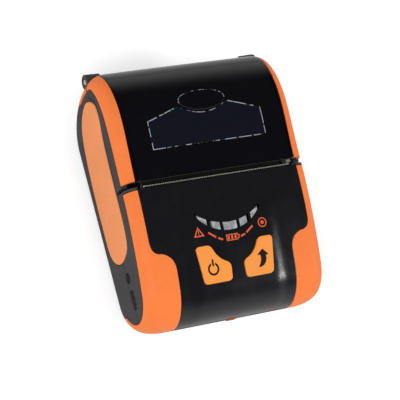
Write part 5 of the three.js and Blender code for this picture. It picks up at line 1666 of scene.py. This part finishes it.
# Each finish: its colour or that colour's setting, its roughness where clean and where handled, the scale and the
# height of its grain, its second colour as a share of the first, and what else sets it apart
STEEL = {"metallic": 1}
FINISHES = {
    "lid_gloss": ("lid", 0.07, 0.16, 500, mm(0.0015), 1.3, {"smear_scale": 35, "specular": 0.45}),
    "window_smoked": ("window", 0.05, 0.12, 400, mm(0.001), 1.15, {"smear_scale": 35, "specular": 0.45}),
    "panel_satin": ("panel", 0.22, 0.33, 2600, mm(0.008), 1.2, {"specular": 0.4}),
    "case_dark": ("case", 0.52, 0.66, 1900, mm(0.05), 0.8, {"cells": 0.6}),
    "orange_case": ("strips", 0.46, 0.6, 1150, mm(0.09), 0.92, {"cells": 0.85}),
    "orange_key": ("keys", 0.36, 0.5, 2600, mm(0.01), 0.93, {}),
    "orange_grip": ("grips", 0.62, 0.78, 2600, mm(0.03), 0.88, {"ribs": True}),
    "orange_latch": (tint(176, 60, 34), 0.46, 0.6, 2100, mm(0.03), 0.9, {"cells": 0.7}),
    "inner_black": (tint(36, 36, 38), 0.45, 0.62, 1700, mm(0.03), 0.75, {"cells": 0.4}),
    # Black plastic of the round socket and the USB tongue, deepened to near black so that it also paints the shade
    # inside the socket mouths
    "socket_black": (tint(9, 9, 10), 0.6, 0.75, 1700, mm(0.02), 0.8, {"cells": 0.4}),
    "platen_rubber": (tint(30, 30, 31), 0.6, 0.78, 2400, mm(0.02), 0.8, {}),
    "acetal": (tint(226, 222, 208), 0.32, 0.46, 1500, mm(0.01), 0.93, {}),
    "ceramic": (tint(228, 222, 205), 0.2, 0.32, 1800, mm(0.004), 0.94, {}),
    "glaze_brown": (tint(96, 58, 34), 0.08, 0.16, 900, mm(0.002), 0.85, {}),
    "board": (tint(28, 84, 50), 0.34, 0.5, 1300, mm(0.01), 0.7, {"cells": 0.3}),
    "icon_ink": (tint(30, 10, 8), 0.4, 0.55, 2600, mm(0.004), 0.85, {}),
    "orange_ink": (tint(226, 100, 56), 0.4, 0.52, 2600, mm(0.004), 0.9, {}),
    "light_lens": ("lights", 0.24, 0.36, 500, mm(0.02), 0.62,
                   {"patches": 300, "softness": 0.1, "stretch": (0.35, 1, 1)}),
    # Painted highlight for the edges of the pane and the dimple: a pale line broken by dark patches, as the caught
    # light is
    "window_line": (tint(160, 163, 174), 0.2, 0.32, 900, mm(0.002), 0.03, {"patches": 90, "softness": 0.03}),
    "cutter_steel": (tint(214, 210, 198), 0.24, 0.36, 900, mm(0.004), 0.92, STEEL),
    "usb_steel": (tint(224, 224, 222), 0.2, 0.34, 900, mm(0.004), 0.92, STEEL),
    "steel_sheet": (tint(190, 190, 186), 0.22, 0.38, 900, mm(0.006), 0.9, {**STEEL, "stretch": (0.08, 1, 1)}),
    "steel_pin": (tint(200, 200, 198), 0.16, 0.3, 1400, mm(0.004), 0.92, {**STEEL, "stretch": (1, 0.15, 0.15)}),
    "heat_sink": (tint(178, 182, 188), 0.34, 0.48, 1600, mm(0.01), 0.9, {**STEEL, "stretch": (0.1, 1, 1)}),
}


# Stage

CAMERA_LENS = 155.43
CAMERA_SENSOR = 36
CAMERA_PLACE = (-0.410, -0.20475, 0.842)
CAMERA_RIGHT = (0.887, -0.259, 0.382)
CAMERA_UP = (0.145, 0.942, 0.304)
LAMP_AIM = (0, 0, mm(30))
LEFT_LAMP = ((-0.75, -0.35, 0.85), 0.6, 0.6)
RIGHT_LAMP = ((0.97, -0.46, 0.715), 0.45, 0.12)
FLOOR_SIZE = 3
FLOOR_Z = mm(-0.35)
FLOOR_GLOW = 0.4
ROOM_BRIGHT_TO, ROOM_DARK_FROM, ROOM_DARK = 0.12, 0.62, 0.06


def aim_matrix(place, right, up):
    """A camera's placing, from its place, its right and about its up."""
    right = Vector(right).normalized()
    up = Vector(up)
    up = (up - right * up.dot(right)).normalized()
    turn = Matrix((right, up, right.cross(up))).transposed()
    return Matrix.Translation(place) @ turn.to_4x4()


def add_camera():
    data = bpy.data.cameras.new("Camera")
    data.lens = CAMERA_LENS
    data.sensor_width = CAMERA_SENSOR
    data.clip_start = 0.01
    camera = link("Camera", data)
    camera.matrix_world = aim_matrix(CAMERA_PLACE, CAMERA_RIGHT, CAMERA_UP)
    bpy.context.scene.camera = camera


def add_softbox(name, power, place, width, height):
    data = bpy.data.lights.new(name, "AREA")
    data.shape = "RECTANGLE"
    data.size = width
    data.size_y = height
    data.energy = power
    lamp = link(name, data)
    lamp.location = place
    lamp.rotation_euler = (Vector(place) - Vector(LAMP_AIM)).to_track_quat("Z", "Y").to_euler()


def add_floor():
    """A pale floor just under the printer, which the camera sees a little brighter than it is lit."""
    clear_selection()
    bpy.ops.mesh.primitive_plane_add(size=FLOOR_SIZE, location=(0, 0, FLOOR_Z))
    ground = placed()
    ground.name = "floor"
    material = bpy.data.materials.new("floor_paper")
    material.use_nodes = True
    tree = material.node_tree
    seen = add_node(tree, "LightPath").outputs["Is Camera Ray"]
    glow = add_node(tree, "Math", {0: seen, 1: FLOOR_GLOW}, operation="MULTIPLY").outputs[0]
    feed(tree, tree.nodes["Principled BSDF"], {
        "Base Color": (0.92, 0.92, 0.92, 1), "Roughness": 0.9, "Specular IOR Level": 0.1,
        "Emission Color": (1, 1, 1, 1), "Emission Strength": glow,
    })
    ground.data.materials.append(material)


def add_world(ambient):
    """Even light for surfaces; reflections see a room white low down and dark overhead, the camera sees white."""
    world = bpy.data.worlds.new("Studio")
    bpy.context.scene.world = world
    world.use_nodes = True
    world.cycles.sampling_method = "NONE"
    tree = world.node_tree
    tree.nodes.clear()
    place = add_node(tree, "TexCoord").outputs["Generated"]
    height = add_node(tree, "SeparateXYZ", {0: place}).outputs["Z"]
    reach = {"From Min": ROOM_BRIGHT_TO, "From Max": ROOM_DARK_FROM, "To Min": 1, "To Max": ROOM_DARK}
    fade = add_node(tree, "MapRange", {"Value": height, **reach}, interpolation_type="SMOOTHSTEP")
    path = add_node(tree, "LightPath").outputs
    lit = add_node(tree, "Mix", {0: path["Is Glossy Ray"], 2: ambient, 3: fade.outputs["Result"]}).outputs[0]
    seen = add_node(tree, "Mix", {0: path["Is Camera Ray"], 2: lit, 3: 1}).outputs[0]
    background = add_node(tree, "Background", {"Strength": seen}).outputs[0]
    add_node(tree, "OutputWorld", {"Surface": background})


# Marks

RING_STEPS = 40


def ring_outline(centre, radius):
    turns = [2 * math.pi * step / RING_STEPS for step in range(RING_STEPS)]
    return [(centre[0] + radius * math.cos(turn), centre[1] + radius * math.sin(turn)) for turn in turns]


def stroke_outline(points, width):
    """The outline of a band of even width along points."""
    sides = ([], [])
    for number, point in enumerate(points):
        before = Vector(points[max(0, number - 1)])
        after = Vector(points[min(len(points) - 1, number + 1)])
        lean = (after - before).normalized() * width / 2
        sides[0].append((point[0] - lean.y, point[1] + lean.x))
        sides[1].append((point[0] + lean.y, point[1] - lean.x))
    return sides[0] + sides[1][::-1]


def mm_points(points):
    return [(mm(x), mm(y)) for x, y in points]


def turned_right(outline):
    """The outline in the anticlockwise sense."""
    area = sum(a[0] * b[1] - b[0] * a[1] for a, b in zip(outline, outline[1:] + outline[:1]))
    return outline if area > 0 else outline[::-1]


POWER_RING = (mm(-14.65), mm(-47.9))
POWER_RADIUS, POWER_HOLE, POWER_GAP_WIDTH, POWER_BAR_WIDTH = mm(3.3), mm(2.25), mm(2.3), mm(1.0)
POWER_BAR = mm_points([(-14.5, -42.9), (-14.62, -46.4)])
POWER_GAP = mm_points([(-14.4, -41.9), (-14.66, -47.0)])
# The feed arrow: tip, head, neck, then its curved shaft down to the tail and back
ARROW = mm_points([
    (15.5, -42.0), (11.9, -44.7), (13.7, -44.95), (13.9, -46.2), (13.7, -47.6), (13.1, -49.2), (11.8, -51.1),
    (13.5, -51.1), (15.3, -50.3), (16.5, -48.9), (17.1, -47.2), (17.15, -45.35), (18.8, -45.3),
])
DASHES = [mm_points(line) for line in (
    [(-13.7, -29.0), (-9.7, -32.0)], [(-8.6, -32.6), (-6.0, -33.8)], [(4.7, -33.6), (7.4, -32.7)],
    [(8.3, -32.2), (12.6, -29.2)],
)]
FAULT_SIGN = mm_points([(-19.2, -25.2), (-22.3, -30.4), (-16.1, -30.4)])
FAULT_STROKES = [mm_points([(-19.2, -27.3), (-19.2, -28.7)]), mm_points([(-19.2, -29.05), (-19.2, -29.6)])]
CELL = mm_points([
    (-3.9, -35.0), (3.1, -35.0), (3.1, -34.2), (4.0, -34.2), (4.0, -32.4), (3.1, -32.4), (3.1, -31.6), (-3.9, -31.6),
])
CELL_MIDDLE = (mm(0.1), mm(-33.25))
CELL_BAR = mm(1.1)
CELL_BARS = [mm_points([(x, -34.3), (x, -32.3)]) for x in (-2.5, -0.5, 1.5)]
STATE_RING = (mm(18.7), mm(-28.3))
STATE_RADIUS, STATE_HOLE, STATE_DOT = mm(2.6), mm(2.0), mm(1.0)
DASH_WIDTH = mm(0.95)
SIGN_HOLLOW = 0.62
MARK_LINE = mm(0.5)


def key_mark(outline):
    return inlay(turned_right(outline), KEY_PROUD + MARK_RISE, MARK_DEPTH - KEY_PROUD)


def panel_mark(outline, *holes):
    mark = inlay(turned_right(outline), MARK_RISE, MARK_DEPTH)
    return cut(mark, *(column(turned_right(hole)) for hole in holes))


def power_mark():
    """A ring with a gap at its head and an upright bar in the gap."""
    ring = key_mark(ring_outline(POWER_RING, POWER_RADIUS))
    cut(ring, column(ring_outline(POWER_RING, POWER_HOLE)))
    cut(ring, column(turned_right(stroke_outline(POWER_GAP, POWER_GAP_WIDTH))))
    return join(ring, key_mark(stroke_outline(POWER_BAR, POWER_BAR_WIDTH)))


def shrunk(outline, share):
    middle = [sum(point[axis] for point in outline) / len(outline) for axis in (0, 1)]
    return [tuple(between(middle[axis], point[axis], share) for axis in (0, 1)) for point in outline]


def panel_marks():
    """Dashes under the lights and three plain signs: fault, charge, state."""
    marks = {}
    for number, line in enumerate(DASHES, 1):
        marks[f"dash_{number}"] = panel_mark(stroke_outline(line, DASH_WIDTH))
    marks["fault_sign"] = panel_mark(FAULT_SIGN, shrunk(FAULT_SIGN, SIGN_HOLLOW))
    for line in FAULT_STROKES:
        join(marks["fault_sign"], panel_mark(stroke_outline(line, MARK_LINE)))
    inner = [tuple(value - math.copysign(MARK_LINE, value - middle) for value, middle in zip(point, CELL_MIDDLE))
             for point in CELL]
    marks["charge_sign"] = panel_mark(CELL, inner)
    for line in CELL_BARS:
        join(marks["charge_sign"], panel_mark(stroke_outline(line, CELL_BAR)))
    state = panel_mark(ring_outline(STATE_RING, STATE_RADIUS), ring_outline(STATE_RING, STATE_HOLE))
    marks["state_sign"] = join(state, panel_mark(ring_outline(STATE_RING, STATE_DOT)))
    return marks


# Settings


def colour_setting(name, text, colour):
    return bpy.props.FloatVectorProperty(
        name=name, description=text, subtype="COLOR", size=3, min=0, max=1, default=colour)


def size_setting(name, text, value, unit="LENGTH"):
    return bpy.props.FloatProperty(name=name, description=text, default=value, min=0, unit=unit)


class PrinterColours(bpy.types.PropertyGroup):
    """Colours of the printer's moulded parts"""

    lid: colour_setting("Lid", "Gloss black paper-bay cover", tint(8, 7, 12))
    window: colour_setting("Window", "Smoked pane in the lid", tint(17, 19, 29))
    panel: colour_setting("Panel", "Satin black front panel", tint(18, 17, 22))
    case: colour_setting("Case", "Dark grey case halves", tint(64, 62, 63))
    strips: colour_setting("Strips", "Orange strips and bumpers", tint(255, 132, 63))
    keys: colour_setting("Keys", "Orange keys", tint(255, 157, 69))
    grips: colour_setting("Grips", "Orange side grips", tint(255, 160, 102))
    lights: colour_setting("Lights", "Grey light windows", tint(180, 183, 188))


class PrinterSizes(bpy.types.PropertyGroup):
    """Sizes of the printer's finishing details, and the strength of its lights"""

    edge: size_setting("Edge rounding", "Rounding of the moulded shells' edges", mm(0.25))
    key_edge: size_setting("Key rounding", "Rounding of the keys' edges", mm(0.5))
    grip_edge: size_setting("Grip rounding", "Rounding of the grips' edges", mm(0.7))
    ambient: size_setting("Room light", "Strength of the even light on all surfaces", 0.6, "NONE")
    rim_light: size_setting("Rim light", "Power of the small lamp on the right", 5.0, "POWER")
    key_light: size_setting("Key light", "Power of the soft lamp on the left", 6.2, "POWER")


def sizes():
    return bpy.context.scene.printer_sizes


# Operators


class PRINTER_OT_stage(bpy.types.Operator):
    """Sets up the camera, the soft lamps, the room and the floor"""

    bl_idname = "printer.stage"
    bl_label = "Stage"

    def execute(self, context):
        add_camera()
        add_softbox("Soft lamp left", sizes().key_light, *LEFT_LAMP)
        add_softbox("Soft lamp right", sizes().rim_light, *RIGHT_LAMP)
        add_world(sizes().ambient)
        add_floor()
        return {"FINISHED"}


class PRINTER_OT_front_panel(bpy.types.Operator):
    """Models the front panel with its raised key pad, and the marks on it"""

    bl_idname = "printer.front_panel"
    bl_label = "Front panel"

    def execute(self, context):
        settle(front_panel(), "panel_shell", "case", "panel_satin", ["front_panel"])
        for name, mark in panel_marks().items():
            settle(mark, name, "case", "panel_satin", finish="orange_ink")
        return {"FINISHED"}


class PRINTER_OT_keys(bpy.types.Operator):
    """Models the two keys and the marks on them"""

    bl_idname = "printer.keys"
    bl_label = "Keys"

    def execute(self, context):
        for side, key in KEYS:
            settle(key_cap(side), f"{key}_key_cap", f"{key}_key", "orange_key", [f"{key}_button"])
        settle(power_mark(), "power_mark", "power_key", "orange_key", finish="icon_ink")
        settle(key_mark(ARROW), "feed_mark", "feed_key", "orange_key", finish="icon_ink")
        return {"FINISHED"}


class PRINTER_OT_lights(bpy.types.Operator):
    """Models the five light windows of the arc"""

    bl_idname = "printer.lights"
    bl_label = "Lights"

    def execute(self, context):
        for number, (start, end) in enumerate(light_spans(), 1):
            lens = light_lens(start, end)
            settle(lens, f"light_window_{number}", "case", "light_lens", [f"light_guide_{number}"])
        return {"FINISHED"}


class PRINTER_OT_lid(bpy.types.Operator):
    """Models the lid's gloss cover, its pane, its orange strips and its inner frame"""

    bl_idname = "printer.lid"
    bl_label = "Lid"

    def execute(self, context):
        settle(lid_cover(), "lid_gloss_cover", "lid", "lid_gloss", ["lid_cover"])
        # The pale line on the dimple's far rim is a painted highlight
        settle(dimple_rim(), "dimple_rim", "lid", "lid_gloss", finish="window_line")
        settle(eased(lid_window(), MOULD_EDGE), "lid_pane", "lid", "window_smoked", ["lid_window"])
        # The pale ring round the pane is a painted highlight
        settle(tidy_mesh(painted_pane_highlight()), "lid_pane_line", "lid", "window_smoked", finish="window_line")
        settle(eased(lid_frame(), sizes().edge), "lid_inner_frame", "lid", "case_dark", ["lid_frame"])
        for side, word in SIDES:
            settle(lid_trim(side), f"lid_strip_{word}", "lid", "orange_case", [f"lid_trim_{word}"])
        return {"FINISHED"}


class PRINTER_OT_case(bpy.types.Operator):
    """Models both case halves, the bumpers, the rear rims and the side grips"""

    bl_idname = "printer.case"
    bl_label = "Case"

    def execute(self, context):
        edge = sizes().edge
        settle(eased(lower_housing(), edge), "lower_case", "case", "case_dark", ["lower_housing"])
        settle(eased(upper_housing(), edge), "upper_case", "case", "case_dark", ["upper_housing"])
        for side, word in SIDES:
            settle(corner_bumper(side), f"corner_bumper_{word}", "case", "orange_case", [f"bumper_{word}"])
            settle(rear_rim(side), f"rear_rim_{word}", "case", "orange_case", [f"rear_trim_{word}"])
            settle(side_grip(side), f"side_grip_{word}", "case", "orange_grip", [f"grip_{word}"])
        return {"FINISHED"}


class PRINTER_OT_platen(bpy.types.Operator):
    """Models the rubber platen with its shaft and bushes, and the three gears that drive it"""

    bl_idname = "printer.platen"
    bl_label = "Platen and gears"

    def execute(self, context):
        settle(platen_roller(), "platen_rubber_roller", "platen", "platen_rubber", ["platen_roller"])
        shaft = pin(-ARM_X - ARM - GAP, GEAR_X + GEAR_WIDTH + GAP, SHAFT_RADIUS, *mechanism_places()["platen"])
        settle(shaft, "platen_steel_shaft", "platen", "steel_pin", ["platen_shaft"])
        wheel = gear("platen", PLATEN_TEETH, SHAFT_RADIUS, mm(3.2), mm(4.5))
        settle(wheel, "platen_wheel", "platen", "acetal", ["platen_gear"])
        wheel = gear("idler", IDLER_TEETH, IDLER_AXLE_RADIUS, mm(2.9), mm(5.6), 6)
        settle(wheel, "idler_wheel", "idler", "acetal", ["idler_gear"])
        wheel = gear("pinion", PINION_TEETH, MOTOR_SHAFT_RADIUS)
        settle(wheel, "drive_wheel", "drive", "acetal", ["drive_pinion"])
        for side, word in SIDES:
            settle(platen_bush(side), f"platen_bearing_{word}", "lid", "acetal", [f"platen_bush_{word}"])
        return {"FINISHED"}


class PRINTER_OT_print_head(bpy.types.Operator):
    """Models the thermal head, its sink and springs, the frame that carries them and the cutter"""

    bl_idname = "printer.print_head"
    bl_label = "Print head and frame"

    def execute(self, context):
        settle(mechanism_frame(), "folded_frame", "case", "steel_sheet", ["mechanism_frame"])
        settle(tear_bar(), "cutter_bar", "case", "steel_sheet", ["tear_bar"], finish="cutter_steel")
        head = soften(nip_plate(GAP, GAP + HEAD_THICKNESS, -HEAD_BELOW, HEAD_ABOVE, PAPER_HALF), BOARD_EDGE, 1)
        settle(head, "head_substrate", "case", "ceramic", ["thermal_head"])
        glaze = nip_plate(GAP - mm(0.12), GAP + mm(0.1), mm(-0.6), mm(0.6), PAPER_HALF - mm(1))
        settle(soften(glaze, BOARD_EDGE), "head_glaze", "case", "ceramic", finish="glaze_brown")
        cover = nip_plate(GAP - mm(0.45), GAP + mm(0.1), -HEAD_BELOW + mm(0.3), mm(-2.6), PAPER_HALF - mm(2))
        settle(soften(cover, SMALL_EDGE), "head_chip_cover", "case", "ceramic", finish="inner_black")
        settle(heat_sink(), "finned_sink", "case", "heat_sink", ["heat_sink"])
        settle(paper_guide(), "paper_guide", "case", "inner_black")
        for side, word in SIDES:
            settle(head_spring(side), f"head_coil_{word}", "case", "steel_sheet", [f"head_spring_{word}"],
                   finish="steel_pin")
        return {"FINISHED"}


class PRINTER_OT_drive(bpy.types.Operator):
    """Models the motor with its shaft, the idler's axle and the hinge pins"""

    bl_idname = "printer.drive"
    bl_label = "Drive and pins"

    def execute(self, context):
        idler, pinion = mechanism_places()["idler"], mechanism_places()["pinion"]
        settle(stepper_motor(pinion), "motor_can", "case", "steel_sheet", ["stepper_motor"])
        shaft = pin(PLATE_X - SKIN, GEAR_X + GEAR_WIDTH, MOTOR_SHAFT_RADIUS, *pinion, mm(0.2), 32)
        settle(shaft, "motor_spindle", "drive", "steel_pin", ["motor_shaft"])
        axle = pin(PLATE_X + PLATE / 2, GEAR_X + GEAR_WIDTH + GAP, IDLER_AXLE_RADIUS, *idler)
        settle(axle, "idler_spindle", "case", "steel_pin", ["idler_axle"])
        for side, word in SIDES:
            dowel = pin(*span(side, KNUCKLE_INNER_X + GAP, KNUCKLE_OUTER_X), PIN_RADIUS, HINGE_Y, HINGE_Z)
            settle(dowel, f"hinge_dowel_{word}", "case", "steel_pin", [f"hinge_pin_{word}"])
        return {"FINISHED"}


class PRINTER_OT_paper_bay(bpy.types.Operator):
    """Models the roll's tray and the paper sensor"""

    bl_idname = "printer.paper_bay"
    bl_label = "Paper bay"

    def execute(self, context):
        settle(paper_tray(), "roll_tray", "case", "inner_black", ["paper_tray"])
        settle(paper_sensor(), "paper_eye", "case", "inner_black", ["paper_sensor"])
        return {"FINISHED"}


class PRINTER_OT_electronics(bpy.types.Operator):
    """Models the two boards with their components, the key switches and the sockets"""

    bl_idname = "printer.electronics"
    bl_label = "Boards and sockets"

    def execute(self, context):
        settle(main_board(), "main_circuit_board", "case", "board", ["main_board"])
        settle(main_board_parts(), "main_board_parts", "case", "board", finish="inner_black")
        settle(main_board_metal(), "main_board_metal", "case", "board", finish="steel_pin")
        settle(key_board(), "key_circuit_board", "case", "board", ["key_board"])
        settle(lamp_chips(), "lamp_chips", "case", "board", finish="light_lens")
        for side, key in KEYS:
            switch, plate = switch_body(*key_stem(side)), switch_plate(*key_stem(side))
            settle(switch, f"switch_body_{key}", "case", "inner_black", [f"key_switch_{key}"])
            settle(plate, f"switch_plate_{key}", "case", "inner_black", finish="steel_sheet")
        # The socket body and the USB tongue take a near black that also paints the shade in the socket mouths
        settle(jack_body(), "jack_body", "case", "inner_black", ["dc_jack"], finish="socket_black")
        settle(jack_pin(), "jack_pin", "case", "inner_black", finish="steel_pin")
        settle(usb_shell(), "usb_shell", "case", "steel_sheet", ["usb_port"], finish="usb_steel")
        settle(usb_tongue(), "usb_tongue", "case", "steel_sheet", finish="socket_black")
        settle(usb_contacts(), "usb_contacts", "case", "steel_sheet", finish="steel_pin")
        return {"FINISHED"}


class PRINTER_OT_battery(bpy.types.Operator):
    """Models the battery pack, its latch and spring, and the case screws"""

    bl_idname = "printer.battery"
    bl_label = "Battery and screws"

    def execute(self, context):
        settle(battery_pack(), "battery_cover", "case", "case_dark", ["battery_pack"])
        settle(battery_latch(), "latch_nub", "latch", "orange_case", ["battery_latch"], finish="orange_latch")
        start = LATCH_FLANGE_Y + LATCH_FLANGE + GAP
        length = PACK_NEAR_Y - 2 * GAP - BAY_WALL - start
        coil = coil_spring((0, start, LATCH_LOW_Z + LATCH_HEIGHT / 2), (0, 1, 0), length, LATCH_SPRING_RADIUS)
        settle(coil, "latch_coil", "case", "steel_sheet", ["latch_spring"], finish="steel_pin")
        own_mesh(coil)
        for number, (x, y) in enumerate(SCREW_PLACES, 1):
            settle(screw(x, y), f"case_screw_{number}", "case", "steel_pin", [f"housing_screw_{number}"])
        return {"FINISHED"}


OPERATORS = (
    PRINTER_OT_stage,
    PRINTER_OT_front_panel,
    PRINTER_OT_keys,
    PRINTER_OT_lights,
    PRINTER_OT_lid,
    PRINTER_OT_case,
    PRINTER_OT_platen,
    PRINTER_OT_print_head,
    PRINTER_OT_drive,
    PRINTER_OT_paper_bay,
    PRINTER_OT_electronics,
    PRINTER_OT_battery,
)


class PRINTER_PT_sidebar(bpy.types.Panel):
    """Lists the printer's settings and its pieces"""

    bl_label = "Receipt printer"
    bl_idname = "PRINTER_PT_sidebar"
    bl_space_type = "VIEW_3D"
    bl_region_type = "UI"
    bl_category = "Receipt printer"

    def draw(self, context):
        for group in (context.scene.printer_sizes, context.scene.printer_colours):
            for name in group.__annotations__:
                self.layout.prop(group, name)
        for operator in OPERATORS:
            self.layout.operator(operator.bl_idname)


CLASSES = (PrinterColours, PrinterSizes, *OPERATORS, PRINTER_PT_sidebar)


def register():
    for item in CLASSES:
        bpy.utils.register_class(item)
    bpy.types.Scene.printer_colours = bpy.props.PointerProperty(type=PrinterColours)
    bpy.types.Scene.printer_sizes = bpy.props.PointerProperty(type=PrinterSizes)


def unregister():
    del bpy.types.Scene.printer_sizes
    del bpy.types.Scene.printer_colours
    for item in reversed(CLASSES):
        bpy.utils.unregister_class(item)


def main():
    register()
    bpy.context.scene.view_settings.view_transform = "Standard"
    for operator in OPERATORS:
        getattr(bpy.ops.printer, operator.bl_idname.split(".")[1])()


if __name__ == "__main__":
    main()
